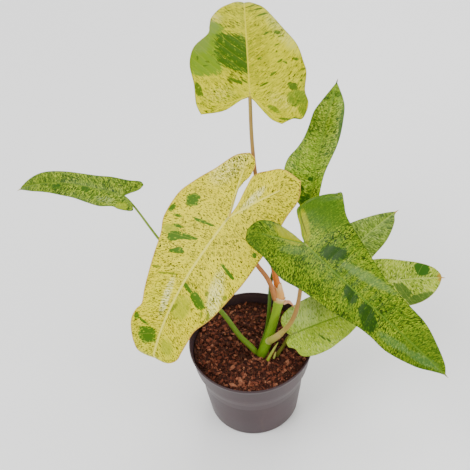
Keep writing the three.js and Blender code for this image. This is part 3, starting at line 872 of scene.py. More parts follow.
FORMS = (
    LeafForm(
        letter="a", junction=(13.2, 93.5, 330), length=155, half_width=50,
        heading=89.5, rise=16, droop=85, droop_power=2.6,
        slant=(0.55, 1.0),
        lobe_droop=10, sweep=-1, roll=4, twist=-1,
        fold=(8, 6), camber=(0.16, 0.25), wave=(1.5, 2.5, 0.5),
        tip=(0, 140),
        right=(
            (8, -13), (17, -25), (26, -30), (36, -25), (44, -25), (49, -17), (51, -8), (49, 4),
            (52, 24), (50, 35), (45, 53), (34, 73), (24, 92), (17, 106), (8, 120),
        ),
        left=(
            (-8, -5), (-24, -16), (-44, -19), (-48, -8), (-49, 10), (-52, 32), (-48, 50), (-35, 64),
            (-33, 74), (-31, 85), (-23, 101), (-12, 116),
        ),
        stalk=((30, 18, 139), (28, 26, 152), (20, 48, 200), (14, 71, 254), (12.6, 82, 288)),
        stalk_radii=((0, 3.9), (0.05, 3.4), (0.14, 2.5), (0.3, 2), (1, 1.7)),
    ),
    LeafForm(
        letter="b", junction=(-13, 26.6, 246.5), length=155, half_width=49,
        heading=-139.5, rise=-29, droop=42, droop_power=1.6,
        lobe_droop=20, sweep=5, roll=-12, twist=3,
        fold=(4, 6), camber=(0.34, 0.2), wave=(1.2, 2.2, 1),
        tip_curl=(147, 9),
        tip=(0, 163),
        right=(
            (5, -12), (10, -28), (9, -41), (14, -54), (24, -57), (33, -47), (39, -27), (47, -8),
            (53, 10), (51, 32), (43, 47), (38, 65), (31, 93), (27, 107), (30, 115), (31, 125),
            (28, 135), (22, 146), (12, 156),
        ),
        left=(
            (1, -14), (5, -31), (7, -44), (0, -55), (-10, -65), (-29, -67), (-39, -53), (-41, -33),
            (-45, -8), (-47, 13), (-46, 46), (-40, 82), (-30, 105), (-28, 118), (-26, 131), (-24, 141),
            (-17, 149), (-8, 155),
        ),
        stalk=((26, 17, 138), (20, 21.5, 161.5), (9, 25.7, 182.6), (-2, 27.5, 214.5)),
        stalk_radii=((0, 3), (0.12, 2.4), (0.3, 2.2), (1, 1.9)),
    ),
    LeafForm(
        letter="c", junction=(51, -23.2, 261.4), length=163.5, half_width=46.2, spike="6a7a24",
        heading=-50, rise=-14, droop=21, droop_power=1.5,
        lobe_droop=5, sweep=14, roll=34, twist=-4,
        fold=(3, 0), camber=(0.42, 0.6), wave=(1.2, 2, 0),
        lobe_curl=LobeCurl(start=-19, slope=0.33, bulge=6, bulge_at=29, bulge_reach=21, radius=13.5),
        tip=(0, 163.5),
        right=(
            (1, -14), (4, -29), (8, -38), (16, -46), (29, -49), (38, -44), (38, -35), (36, -21),
            (38, -6), (38, 5), (33, 21), (30, 38), (28, 53), (22, 77), (20, 94), (20, 114), (13, 139),
            (5, 154),
        ),
        left=(
            (-3, -7), (-8, -14), (-13, -24), (-18, -35), (-28, -40), (-38, -38), (-47, -31),
            (-53, -20), (-54, -10), (-48, 0), (-42, 10), (-36, 31), (-31, 49), (-25, 73), (-22, 100),
            (-20, 122), (-13, 142), (-6, 157),
        ),
        stalk=(
            (16, -4, 99), (20.5, -9, 109.5), (27, -12, 120), (36, -14.8, 136.7), (41.9, -15.8, 154.4),
            (45, -15.5, 170.8), (47, -15, 187), (49.5, -18.3, 224.5),
        ),
        stalk_radii=((0, 3.6), (0.08, 3.2), (0.2, 2.4), (0.4, 2), (1, 1.8)),
    ),
    LeafForm(
        letter="d", junction=(60.4, 51, 217), length=129, half_width=24, spike="3f5a14",
        heading=70, rise=54, droop=30, droop_power=1.5,
        lobe_droop=6, sweep=-6, roll=9, twist=1,
        fold=(5, 24), camber=(0.25, 0.3), wave=(0.8, 2, 0),
        tip=(-2, 125),
        right=(
            (2, -4), (5, -5), (8, 2), (8, 14), (8, 26), (9, 40), (12, 53), (15, 66), (16, 78),
            (15, 92), (13, 103), (9, 111), (3, 119),
        ),
        left=(
            (-3, -4), (-5, 2), (-11, 9), (-20, 18), (-27, 28), (-29, 38), (-27, 48), (-21, 58),
            (-17, 68), (-15, 80), (-14, 93), (-10, 104), (-6, 114),
        ),
        stalk=(
            (10, 1, 87), (16, 10, 100), (20, 19, 128), (23, 30, 150), (30, 40, 163), (45, 44, 167),
            (58, 47, 175), (61.6, 50, 195),
        ),
        stalk_radii=((0, 2.2), (0.15, 1.9), (1, 1.4)),
        grid=SMALL_GRID,
    ),
    LeafForm(
        letter="e", junction=(71.2, 27.9, 146.3), length=109, half_width=26, spike="b58a3c",
        heading=42, rise=16, droop=25, droop_power=1.5,
        lobe_droop=6, sweep=0, roll=12, twist=0,
        fold=(7, 7), camber=(0.3, 0.3), wave=(0.8, 2, 1),
        tip=(0, 109),
        right=(
            (4, -8), (9, -14), (16, -14), (21, -6), (23, 8), (23, 28), (20, 50), (18, 71), (14, 85),
            (8, 97), (3, 103),
        ),
        left=(
            (-4, -8), (-9, -14), (-16, -14), (-21, -6), (-23, 8), (-24, 28), (-23, 48), (-20, 63),
            (-13, 81), (-6, 97),
        ),
        stalk=((44, 19, 87), (51, 26, 100), (63, 34, 113), (71, 36, 126), (73, 32, 139)),
        stalk_radii=((0, 1.9), (1, 1.4)),
        grid=SMALL_GRID,
    ),
    LeafForm(
        letter="f", junction=(85.8, 21.9, 140), length=101, half_width=25, spike="b58a3c",
        heading=4, rise=4, droop=18, droop_power=1.5,
        lobe_droop=6, sweep=3, roll=22, twist=0,
        fold=(7, 7), camber=(0.3, 0.3), wave=(0.8, 2, 2),
        tip=(0, 102),
        right=(
            (4, -8), (9, -14), (16, -14), (21, -6), (24, 8), (25, 26), (26, 46), (26, 62), (24, 76),
            (18, 88), (9, 97),
        ),
        left=(
            (-4, -4), (-9, -7), (-15, -7), (-20, -1), (-23, 10), (-24, 28), (-23, 48), (-20, 63),
            (-16, 80), (-11, 93), (-5, 100),
        ),
        stalk=((47, 13, 87), (51, 18, 98), (61, 28, 106), (75, 37, 117), (83, 32, 130)),
        stalk_radii=((0, 1.9), (1, 1.4)),
        grid=SMALL_GRID,
    ),
    LeafForm(
        letter="g", junction=(39, -11.5, 118), length=95, half_width=28, spike="8a9440",
        heading=27, rise=-7, droop=21, droop_power=1.5,
        lobe_droop=6, sweep=3, roll=25, twist=0,
        fold=(7, 6), camber=(0.28, 0.32), wave=(0.8, 2, 0),
        tip=(0, 96),
        right=(
            (2, -5), (5, -9), (10, -9), (14, -4), (22, -1), (26, 8), (27, 20), (26, 33), (23, 45),
            (20, 56), (15, 68), (9, 80), (4, 90),
        ),
        left=(
            (-6, -5), (-14, -5), (-20, -1), (-24, 8), (-26, 20), (-28, 35), (-26, 48), (-21, 62),
            (-14, 75), (-6, 88),
        ),
        stalk=((25, -11, 87), (31, -9, 98)),
        stalk_radii=((0, 2.2), (0.4, 1.8), (1, 1.6)),
        grid=SMALL_GRID,
    ),
    LeafForm(
        letter="h", junction=(-110.6, 86.1, 222), length=112, half_width=22, spike="b9b070",
        heading=163, rise=9, droop=50, droop_power=1.6,
        lobe_droop=6, sweep=-6, roll=-17, twist=-2,
        fold=(8, 8), camber=(0.3, 0.3), wave=(0.6, 2, 0),
        tip=(0, 116),
        right=(
            (3, -5), (9, -13), (15, -16), (18, -12), (16, -1), (15, 16), (13, 28), (12, 42), (12, 60),
            (12, 76), (11, 88), (7, 101),
        ),
        left=(
            (-2, -4), (-5, -10), (-12, -14), (-14, -11), (-15, 0), (-14, 6), (-17, 18), (-16, 31),
            (-14, 44), (-13, 58), (-11, 73), (-8, 93), (-4, 106),
        ),
        stalk=((3, -5, 87), (-10, 4, 100), (-23, 15, 119), (-54, 36, 158), (-80, 57, 190)),
        stalk_radii=((0, 3.1), (0.12, 2.9), (0.35, 2.2), (0.7, 1.3), (1, 1)),
        grid=SMALL_GRID,
    ),
)


# The leaf's finish


@dataclass(frozen=True)
class Flecks:
    """Small marks scattered over a blade and drawn out along its side veins."""

    colour: str
    level: float
    across: float = 1.2
    along: float = 3.0
    gather: float = 0.08
    gather_size: float = 16.0
    strength: float = 1.0
    seed: float = 0.0


@dataclass(frozen=True)
class Patch:
    """One clear patch of another colour, as a rounded box laid flat on the blade."""

    x: float
    y: float
    half_x: float
    half_y: float
    turn: float = 0.0
    power: float = 3.0
    only: Hand | None = None


@dataclass(frozen=True)
class Tint:
    """Patches of one colour with ragged edges, freckled with another towards their rims."""

    colour: str
    inner: str
    patches: tuple[Patch, ...]
    soft: float = 0.12
    ragged: float = 3.0
    strength: float = 1.0
    freckle: float = 0.62


@dataclass(frozen=True)
class Wash:
    """A soft-edged change of colour over part of a blade."""

    colour: str
    patch: Patch
    strength: float = 0.6


@dataclass(frozen=True)
class LeafFinish:
    """The colours and markings of one leaf blade, with some painted sheen and shade among its washes and
    tints.

    GRAIN, FRECKLE, STREAK and CELL are the sizes of marks across and along the side veins, and SKIN is
    the size of the fine relief, all in millimetres. The names that end in EDGE say where a mark fades
    in, and BUMP is the relief's strength and its height in metres.
    """

    ground: str
    second: str
    streak: str
    vein: str
    rib: str
    margin: str
    flecks: tuple[Flecks, ...] = ()
    tints: tuple[Tint, ...] = ()
    washes: tuple[Wash, ...] = ()
    streaks: float = 0.6
    vein_strength: float = 0.3
    rib_width: float = 1.0
    margin_width: float = 0.5
    ground_size: float = 22.0
    roughness: float = 0.42
    gloss: float = 0.22
    seed: float = 0.0

    PER_MM = 1 / Blade.MAP_SCALE
    GRAIN = (1.6, 9.0)
    FRECKLE = (1.3, 3.4)
    STREAK = (2.4, 24.0)
    CELL = (3.2, 4.5)
    SKIN = 0.8
    CLOUD_EDGE = (0.38, 0.62)
    STREAK_EDGE = (0.5, 0.66)
    FLECK_EDGE = (-0.015, 0.025)
    FRECKLE_EDGE = (0.0, 0.04)
    STOP_AT_MIDRIB = 2000.0
    FRECKLED_RIM = 0.09
    VEIN_EDGE = (0.965, 0.998)
    RIB_EDGE = (1.35, 0.35)
    RIB_SHARE = 0.85
    MARGIN_EDGE = 1.6
    MARGIN_SHARE = 0.8
    SKIN_HEIGHT = 0.35
    CELL_HEIGHT = 0.5
    VEIN_HEIGHT = {Face.UPPER: -0.4, Face.LOWER: 0.5}
    BUMP = (0.35, 0.0004)
    LIGHT_BELOW = "a9b87a"
    LIGHT_SHARE = 0.35
    VEINS_BELOW = 1.3
    DULLER_BELOW = 0.2
    GLOSS_BELOW = 0.15

    def stretched(self, bench: Bench, vein: Any, size: Pair) -> bpy.types.NodeSocket:
        """The place on the veins' map, measured in marks of a size across and along the veins."""
        return bench.vector("MULTIPLY", vein, (self.PER_MM / size[0], self.PER_MM / size[1], 1))

    def reach(self, bench: Bench, flat: Any, patch: Patch) -> bpy.types.NodeSocket:
        """How far out of a patch a place lies.

        Args:
            bench: The material in the making.
            flat: The flat place, in map units.
            patch: The patch.

        Returns:
            A number under 1 inside the patch and over 1 outside it.
        """
        centre = (patch.x * Blade.MAP_SCALE, patch.y * Blade.MAP_SCALE, 0)
        size = (patch.half_x * Blade.MAP_SCALE, patch.half_y * Blade.MAP_SCALE, 1)
        inside = bench.shift(flat, centre, patch.turn, size, kind="TEXTURE")
        power = bench.vector("POWER", bench.vector("ABSOLUTE", inside), (patch.power,) * 3)
        reach = bench.vector("DOT_PRODUCT", power, (1, 1, 0))
        if patch.only is None:
            return reach
        beyond = bench.math("MULTIPLY", bench.split(flat)[0], -self.STOP_AT_MIDRIB * patch.only.value)
        return bench.math("MAXIMUM", reach, beyond)

    def tint_over(self, bench: Bench, colour: Any, flat: Any, grain: Any, spots: Any, tint: Tint) -> Any:
        """Lays a tint's patches over a colour.

        Args:
            bench: The material in the making.
            colour: The colour so far.
            flat: The flat place, in map units.
            grain: Noise along the veins, about 0.5, that cuts the edges.
            spots: Noise for the freckles, about 0.5.
            tint: The patches.

        Returns:
            The colour with the patches on it.
        """
        nearest = None
        for patch in tint.patches:
            reach = self.reach(bench, flat, patch)
            nearest = reach if nearest is None else bench.math("MINIMUM", nearest, reach)
        cut = bench.math("MULTIPLY_ADD", bench.math("SUBTRACT", grain, 0.5), tint.ragged, nearest)
        share = bench.math("MULTIPLY", bench.step(cut, 1 + tint.soft, 1 - tint.soft), tint.strength)
        rim = bench.math("MULTIPLY_ADD", bench.math("MINIMUM", nearest, 1.5), self.FRECKLED_RIM, spots)
        freckles = bench.step(rim, *(tint.freckle + edge for edge in self.FRECKLE_EDGE))
        return bench.mix(share, colour, bench.mix(freckles, paint(tint.colour), paint(tint.inner)))

    def marks(self, bench: Bench, vein: Any, flat: Any, fleck: Flecks) -> bpy.types.NodeSocket:
        """Where one kind of fleck lies.

        Args:
            bench: The material in the making.
            vein: The place across and along the side veins, in map units.
            flat: The flat place, in map units.
            fleck: The kind of fleck.

        Returns:
            The share of its colour.
        """
        place = bench.shift(vein, (fleck.seed, fleck.seed * 0.7, fleck.seed))
        dots = bench.noise(self.stretched(bench, place, (fleck.across, fleck.along)), 1.0, 2.0, 0.6)
        crowd = bench.noise(bench.shift(flat, (fleck.seed, 1, 0)), self.PER_MM / fleck.gather_size, 2.0)
        dots = bench.math("MULTIPLY_ADD", bench.math("SUBTRACT", crowd, 0.5), fleck.gather * 4, dots)
        share = bench.step(dots, *(fleck.level + edge for edge in self.FLECK_EDGE))
        return bench.math("MULTIPLY", share, fleck.strength)

    def mottled(self, bench: Bench, bare: Any, flat: Any, vein: Any) -> bpy.types.NodeSocket:
        """The blade's ground with its washes, streaks, flecks and patches, some of them painted sheen and
        shade.

        Args:
            bench: The material in the making.
            bare: The flat place, in map units.
            flat: The same, moved by the leaf's seed.
            vein: The place across and along the side veins, in map units.

        Returns:
            The colour.
        """
        grain = bench.noise(self.stretched(bench, vein, self.GRAIN), 1.0, 3.0, 0.6)
        spots = bench.noise(self.stretched(bench, vein, self.FRECKLE), 1.0, 2.0, 0.6)
        clouds = bench.noise(flat, self.PER_MM / self.ground_size, 3.0, 0.55)
        colour = bench.mix(bench.step(clouds, *self.CLOUD_EDGE), paint(self.ground), paint(self.second))
        for wash in self.washes:
            share = bench.step(self.reach(bench, bare, wash.patch), 1.0, 0.0)
            colour = bench.mix(bench.math("MULTIPLY", share, wash.strength), colour, paint(wash.colour))
        long = bench.noise(self.stretched(bench, vein, self.STREAK), 1.0, 3.0, 0.6)
        share = bench.math("MULTIPLY", bench.step(long, *self.STREAK_EDGE), self.streaks)
        colour = bench.mix(share, colour, paint(self.streak))
        for fleck in self.flecks:
            colour = bench.mix(self.marks(bench, vein, flat, fleck), colour, paint(fleck.colour))
        for tint in self.tints:
            colour = self.tint_over(bench, colour, bare, grain, spots, tint)
        return colour

    def edged(self, bench: Bench, colour: Any, out: Any) -> bpy.types.NodeSocket:
        """Lays the midrib and the margin over a colour.

        Args:
            bench: The material in the making.
            colour: The colour so far.
            out: Distance from the midrib, in map units.

        Returns:
            The colour with both on it.
        """
        width = self.rib_width * Blade.MAP_SCALE
        centre = bench.step(out, *(width * edge for edge in self.RIB_EDGE))
        colour = bench.mix(bench.math("MULTIPLY", centre, self.RIB_SHARE), colour, paint(self.rib))
        margin, _ = bench.split(bench.map_place("edge"))
        brim = bench.step(margin, self.margin_width * Blade.MAP_SCALE * self.MARGIN_EDGE, 0.0)
        return bench.mix(bench.math("MULTIPLY", brim, self.MARGIN_SHARE), colour, paint(self.margin))

    def dress(self, name: str, face: Face, gap: float) -> bpy.types.Material:
        """Makes the material of one face.

        Args:
            name: The leaf's letter.
            face: Which face it is for.
            gap: Distance between side veins, in millimetres.

        Returns:
            The material.
        """
        bench = Bench(f"leaf_{name}_{face.value}")
        below = face is Face.LOWER
        bare = bench.map_place("flat")
        flat = bench.shift(bare, (self.seed, 0, self.seed))
        vein = bench.map_place("vein")
        across, out = bench.split(vein)

        crest = bench.math("COSINE", bench.math("MULTIPLY", across, 2 * math.pi * self.PER_MM / gap))
        lines = bench.step(crest, *self.VEIN_EDGE)
        shown = bench.math("MULTIPLY", lines, self.vein_strength * (self.VEINS_BELOW if below else 1.0))
        colour = bench.mix(shown, self.mottled(bench, bare, flat, vein), paint(self.vein))
        colour = self.edged(bench, colour, out)
        if below:
            colour = bench.mix(self.LIGHT_SHARE, colour, paint(self.LIGHT_BELOW))

        skin = bench.noise(flat, self.PER_MM / self.SKIN, 3.0, 0.6)
        cells = bench.cells(self.stretched(bench, vein, self.CELL))
        quilt = bench.math("MULTIPLY", cells, self.CELL_HEIGHT)
        height = bench.math("MULTIPLY_ADD", skin, self.SKIN_HEIGHT, quilt)
        height = bench.math("MULTIPLY_ADD", lines, self.VEIN_HEIGHT[face], height)
        normal = bench.bump(height, *self.BUMP)
        dull = self.roughness + (self.DULLER_BELOW if below else 0.0)
        roughness = bench.math("MULTIPLY_ADD", bench.math("SUBTRACT", skin, 0.5), 0.25, dull)
        gloss = self.GLOSS_BELOW if below else self.gloss
        return bench.finish(colour, roughness, normal, Specular_IOR_Level=gloss)


FINISHES = {
    "a": LeafFinish(
        ground="bab500", second="a8a800", streak="c6be02", vein="cec71c", rib="c8bf28", margin="a09c20",
        flecks=(
            Flecks("97980a", 0.55, 1.7, 6.0, 0.06, 24, 0.85, 4.1),
            Flecks("d0c70c", 0.57, 1.6, 6.0, 0.08, 20, 0.65, 7.7),
            Flecks("68780a", 0.59, 1.2, 4.5, 0.08, 20, 0.9, 12.9),
            Flecks("354804", 0.625, 1.4, 3.6, 0.09, 18, 0.95, 1.3),
        ),
        washes=(
            # Painted shade: darker olive-yellow in the valley beside the midrib.
            Wash("989700", Patch(8, 48, 14, 54, 0, 2), 0.95),
            Wash("c5c468", Patch(33, 72, 13, 40, 24, 2), 0.6),
            Wash("c8bf84", Patch(-34, 84, 15, 16, -30, 2), 0.6),
            Wash("a9ad0d", Patch(0, 128, 22, 16, 0, 2), 0.6),
            Wash("d8cc5c", Patch(28, -8, 20, 10, -30, 2), 0.4),
            Wash("cfc45a", Patch(-28, 0, 18, 10, 10, 2), 0.4),
        ),
        tints=(
            Tint("628012", "98a824", (Patch(-39, 41, 15.5, 22, 3, 4), Patch(-31, 68, 11, 12, 0, 2)),
                 0.1, 3.4, 0.95, 0.68),
            Tint("6c8134", "8a9a52",
                 (Patch(-43, 56, 9, 12, 8, 2), Patch(-33, 72, 8, 9, 0, 2)), 0.6, 2.6, 0.75, 0.7),
            Tint("3a5807", "83971a", (
                Patch(-7.7, 40.3, 17, 16, -21, 7, Hand.LEFT), Patch(-14.5, 50, 14.8, 15.4, -4, 4, Hand.LEFT),
            ), 0.05, 6.5, 1.0, 0.62),
            Tint("3f5c09", "83971a", (
                Patch(-11.5, 14.1, 7.8, 1.9, -23, 2), Patch(-4.1, 14.2, 4.0, 1.1, -30, 2),
                Patch(13, 10.5, 4.4, 1.3, 26, 2), Patch(39, 7.6, 4.6, 4.2, 10, 2),
                Patch(36, 10.5, 2.6, 2.0, 40, 2),
                Patch(28.3, 66.6, 3.6, 2.6, -10, 2), Patch(12.8, 101.6, 4.4, 1.8, 16, 2),
                Patch(7, 110, 5, 1.2, 44, 2),
            ), 0.1, 3.0, 0.95, 0.64),
            Tint("54700f", "83951c", (
                Patch(41.5, -5, 9.2, 8.4, 6, 3), Patch(45, -16, 4, 7, 10, 2),
                Patch(20, -15.2, 6.6, 2.6, -39, 2),
            ), 0.3, 3.2, 0.85, 0.60),
            Tint("45600c", "83951c", (
                Patch(-45.4, 4.8, 3.2, 7.6, 18, 3), Patch(28.9, -25.2, 5.4, 1.2, -5, 2),
                Patch(39.5, -25.2, 4.4, 1.5, -11, 2),
                Patch(18, 65.5, 3.0, 1.0, 40, 2), Patch(10.7, 37.8, 3.0, 0.9, 30, 2),
                Patch(28.5, 34.6, 3.2, 1.3, 33, 2),
                Patch(33.2, 33, 2.4, 1.1, -36, 2), Patch(43.2, 36.8, 2.6, 1.7, -10, 2),
                Patch(21.9, 21.2, 4.0, 1.2, 36, 2),
                Patch(46.6, 14.8, 1.3, 1.3, 0, 2), Patch(41.8, -7.2, 2.4, 1.0, -22, 2),
                Patch(38, -12, 2.2, 1.0, 28, 2),
                Patch(16, 92, 7, 1.4, 26, 2), Patch(31, 62, 3, 0.9, 20, 2), Patch(27, 52, 2.6, 0.8, 24, 2),
                Patch(-44.8, 38.8, 1.1, 2.4, 0, 2), Patch(-36.1, 34.3, 2.6, 1.1, -17, 2),
                Patch(-38, 29.8, 3.0, 0.7, 4, 2), Patch(-30.4, 41.3, 2.4, 1.4, 24, 2),
                Patch(0, 120, 5, 1.0, 20, 2),
            ), 0.12, 2.6, 0.95, 0.60),
        ),
        streaks=0.6, vein_strength=0.14, rib_width=0.8, roughness=0.42, gloss=0.05, seed=0.3,
    ),
    "b": LeafFinish(
        ground="e8da00", second="e0d000", streak="eee024", vein="f0e85c", rib="eee45c", margin="cf9c48",
        flecks=(
            Flecks("d4cc1c", 0.53, 1.4, 4.4, 0.07, 20, 0.7, 5.0),
            Flecks("98930f", 0.575, 1.0, 3.0, 0.08, 18, 0.85, 9.4),
            Flecks("59640c", 0.59, 1.0, 2.2, 0.05, 20, 0.95, 14.6),
            Flecks("2c3a06", 0.61, 1.2, 2.4, 0.045, 22, 1.0, 2.2),
        ),
        washes=(
            Wash("cfd001", Patch(4, 145, 40, 32, 0, 2), 0.8), Wash("d6d302", Patch(17, 96, 9, 22, 8, 2), 0.7),
            Wash("d9cf0c", Patch(3, 44, 9, 34, -6, 2), 0.6),
            Wash("fdf08c", Patch(32, -40, 18, 30, 0, 2), 0.8),
            # Painted highlights: these three near-white washes are broad sheen on the blade, beside the
            # midrib and along a lobe's vein.
            Wash("f6f29c", Patch(-32, 66, 9, 32, 18, 2), 0.8),
            Wash("faf6ac", Patch(8, 90, 4.5, 24, 8, 2), 0.9),
            Wash("faf2a0", Patch(-7, -26, 4.5, 20, -5, 2), 0.95),
            Wash("e4d208", Patch(5.5, -20, 5, 18, 12, 2), 0.8),
        ),
        tints=(
            Tint("9aa40c", "b9b921", (
                Patch(-9, 92, 9, 12, 0, 2), Patch(-11, 134, 6, 8, 10, 2), Patch(38, 38, 8, 5, 30, 2),
            ), 0.5, 3.2, 0.8, 0.6),
            Tint("446809", "93a71c", (
                Patch(36.9, 6.5, 6.4, 5.8, 37, 3), Patch(49, 23, 2.4, 3.8, -10, 3),
                Patch(40, 25.4, 4.4, 1.4, 17, 2),
                Patch(33.5, 32.6, 5.6, 1.3, 17, 2), Patch(30.5, 41.2, 6.6, 4.2, 33, 3),
                Patch(22, 36.6, 9, 2.6, 30, 2),
                Patch(15, 33.6, 5, 1.2, 26, 2), Patch(20.7, 50.4, 7.2, 2.9, 33, 2),
                Patch(19.5, 17.2, 7.4, 1.7, 14, 2), Patch(9.5, 14.8, 5.4, 1.1, 14, 2),
                Patch(-6.2, 72.7, 6.8, 2.0, -20, 2), Patch(-19.6, 77.6, 9.2, 4.4, -28, 4),
                Patch(-29.3, 39.9, 9.2, 1.6, -17, 3), Patch(11, 131.6, 9, 8.2, 30, 3),
                Patch(27, 120, 3, 3.4, 0, 2),
                Patch(-40.2, 12.8, 2.3, 2.3, 0, 2), Patch(18, 121.4, 6, 1.4, -10, 2),
            ), 0.06, 3.4, 1.0, 0.62),
            Tint("6f7c0c", "9aa41c", (
                Patch(-2.6, 95.6, 2.4, 5.4, -20, 2), Patch(-40, 61.4, 2.0, 2.6, 30, 2),
                Patch(-24.2, 67.5, 2.0, 2.4, 30, 2),
                Patch(-35.6, 85.7, 1.5, 4.6, 20, 2), Patch(-29, 87, 1.2, 3.4, 20, 2),
                Patch(14, 70, 5, 1.0, 20, 2),
                Patch(22, 74, 5, 1.0, 24, 2), Patch(30, 72, 4, 1.2, 24, 2),
            ), 0.3, 2.6, 0.9, 0.6),
        ),
        streaks=0.5, vein_strength=0.1, rib_width=1.2, margin_width=1.0, roughness=0.38, gloss=0.08, seed=1.7,
    ),
    "c": LeafFinish(
        ground="496908", second="56760b", streak="66840e", vein="627f21", rib="5a7a1c", margin="34500b",
        flecks=(
            Flecks("284604", 0.50, 1.2, 2.8, 0.05, 20, 0.85, 3.1),
            Flecks("7a9012", 0.55, 1.1, 2.4, 0.06, 16, 0.9, 6.4),
            Flecks("9aab20", 0.60, 0.9, 2.0, 0.07, 18, 0.85, 8.8),
            Flecks("142e03", 0.60, 1.2, 2.6, 0.08, 22, 0.9, 11.2),
        ),
        tints=(
            Tint("3d5f09", "567a0f", (Patch(-32, -14, 17, 27, 12, 2),), 0.6, 2.6, 0.85, 0.6),
            Tint("33540a", "4f7010",
                 (Patch(34, -36, 14, 12, 0, 2), Patch(3, 138, 22, 22, 0, 2)), 0.7, 3.0, 0.5, 0.6),
            # Painted sheen: these three greyish tints are highlights beside the midrib, by a lobe's vein and
            # towards the tip.
            Tint("6d8a4a", "7f985c", (Patch(-15.5, 60, 4.2, 25, 13, 2),), 0.7, 2.4, 0.5, 0.7),
            Tint("5f7c40", "6f8a48", (Patch(12, -5, 3.4, 11, 36, 2),), 0.8, 2.4, 0.4, 0.7),
            Tint("4a7034", "7b9a50", (
                Patch(10.4, 112, 3.6, 15, 10, 2), Patch(4.2, 140, 3.4, 15, 16, 2),
            ), 0.7, 2.8, 0.6, 0.6),
            Tint("1f3f05", "3f640e", (
                Patch(-11.4, 24.5, 6.2, 12.5, 32, 2.4), Patch(4.4, 58.7, 5.2, 9, -25, 2),
                Patch(9.1, 81.8, 6.6, 13, -33, 3),
            ), 0.12, 3.2, 0.95, 0.62),
            Tint("8b9002", "a5a80c",
                 (Patch(4.4, -16.2, 5.4, 14, 13, 2), Patch(-10.2, -11.4, 4.6, 14.5, -34, 2)),
                 0.6, 1.8, 0.95, 0.6),
            # Painted shade: a thin dark line in the crease at the lobe's inner edge.
            Tint("1d3804", "39580c", (Patch(-12.5, -16, 0.5, 15, -26, 2),), 0.6, 1.0, 0.7, 0.7),
        ),
        streaks=0.4, vein_strength=0.1, rib_width=0.8, roughness=0.32, gloss=0.1, seed=2.9,
    ),
    "d": LeafFinish(
        ground="64860f", second="709214", streak="7e9e1e", vein="809e2b", rib="6c8a1c", margin="416311",
        flecks=(
            Flecks("375909", 0.51, 1.5, 3.4, 0.06, 18, 0.9, 7.4),
            Flecks("9aaf27", 0.545, 1.4, 2.8, 0.06, 16, 0.9, 9.1),
            Flecks("b7c648", 0.60, 1.0, 2.2, 0.07, 16, 0.9, 12.3),
            Flecks("224006", 0.61, 1.2, 2.8, 0.08, 20, 0.9, 15.1),
        ),
        tints=(
            Tint("294e07", "567a16", (
                Patch(-2.2, 32.7, 3.6, 2.8, 20, 2), Patch(-5, 12.4, 4.6, 6.7, 0, 2),
                Patch(-12, 24, 5, 2.5, -30, 2),
            ), 0.2, 3.6),
            Tint("33570a", "5a8017", (Patch(15, 88, 3, 26, 6, 2),), 0.3, 3.0, 0.8),
        ),
        streaks=0.4, vein_strength=0.1, rib_width=0.7, roughness=0.35, gloss=0.15, seed=3.6,
    ),
    "e": LeafFinish(
        ground="6d891b", second="779225", streak="859c2f", vein="869d38", rib="8ca13d", margin="8e962a",
        flecks=(
            Flecks("4c6812", 0.50, 1.8, 5.0, 0.07, 14, 0.85, 1.9),
            Flecks("99ac46", 0.57, 1.2, 2.8, 0.07, 16, 0.85, 3.3),
            Flecks("2f4a08", 0.575, 1.3, 4.4, 0.08, 16, 0.9, 5.1),
        ),
        streaks=0.4, vein_strength=0.18, rib_width=0.7, roughness=0.38, gloss=0.15, seed=4.4,
    ),
    "f": LeafFinish(
        ground="a0b12e", second="8ea421", streak="b1c044", vein="aebd50", rib="aebd50", margin="a29d2e",
        flecks=(
            Flecks("718a19", 0.52, 1.8, 4.0, 0.08, 14, 0.85, 5.9),
            Flecks("bdca5d", 0.57, 1.2, 3.0, 0.07, 16, 0.85, 8.1),
            Flecks("36550a", 0.60, 1.2, 3.0, 0.10, 14, 0.95, 2.7),
        ),
        tints=(
            Tint("2e5a07", "477212", (Patch(-9.4, 83, 6.8, 7.2, 10, 3),), 0.1, 2.5, 1.0, 0.8),
            Tint("40611a", "66822a", (Patch(11, 61, 9, 5, 30, 3), Patch(20, 77, 5, 14, 12, 3)),
                 0.25, 3.2, 0.9, 0.62),
            Tint("9d7321", "ae9134", (Patch(0, 101, 5, 4, 0, 2),), 0.5, 1.5, 0.8),
        ),
        streaks=0.4, vein_strength=0.18, rib_width=0.7, roughness=0.38, gloss=0.13, seed=5.2,
    ),
    "g": LeafFinish(
        ground="97af28", second="89a222", streak="a8ba3e", vein="608016", rib="5c7d0f", margin="92a635",
        flecks=(
            Flecks("acbc54", 0.57, 1.6, 3.4, 0.08, 16, 0.75, 2.8),
            Flecks("638016", 0.56, 1.4, 3.4, 0.08, 16, 0.7, 13.2),
            Flecks("425e0e", 0.635, 1.1, 2.6, 0.09, 14, 0.95, 4.9),
        ),
        washes=(
            Wash("9db065", Patch(-18, 22, 20, 34, 0, 2), 0.85),
            Wash("9aad1a", Patch(16, 30, 14, 40, 0, 2), 0.5),
        ),
        tints=(
            Tint("3f5e10", "6a8420",
                 (Patch(13.5, 27.4, 4.8, 1.2, 33, 2), Patch(18.4, 32.5, 2.6, 1.0, 28, 2)), 0.2, 2.0),
        ),
        streaks=0.35, vein_strength=0.3, rib_width=0.9, roughness=0.4, gloss=0.14, seed=6.1,
    ),
    "h": LeafFinish(
        ground="506d0d", second="5a7513", streak="66811a", vein="6a8229", rib="5c7614", margin="4a6517",
        flecks=(
            Flecks("294806", 0.51, 1.5, 3.4, 0.06, 16, 0.9, 8.2),
            Flecks("879b1e", 0.55, 1.3, 2.8, 0.06, 14, 0.9, 6.6),
            Flecks("a5b440", 0.605, 1.0, 2.2, 0.07, 14, 0.85, 10.1),
            Flecks("1a3405", 0.61, 1.2, 2.8, 0.08, 18, 0.9, 16.3),
        ),
        washes=(
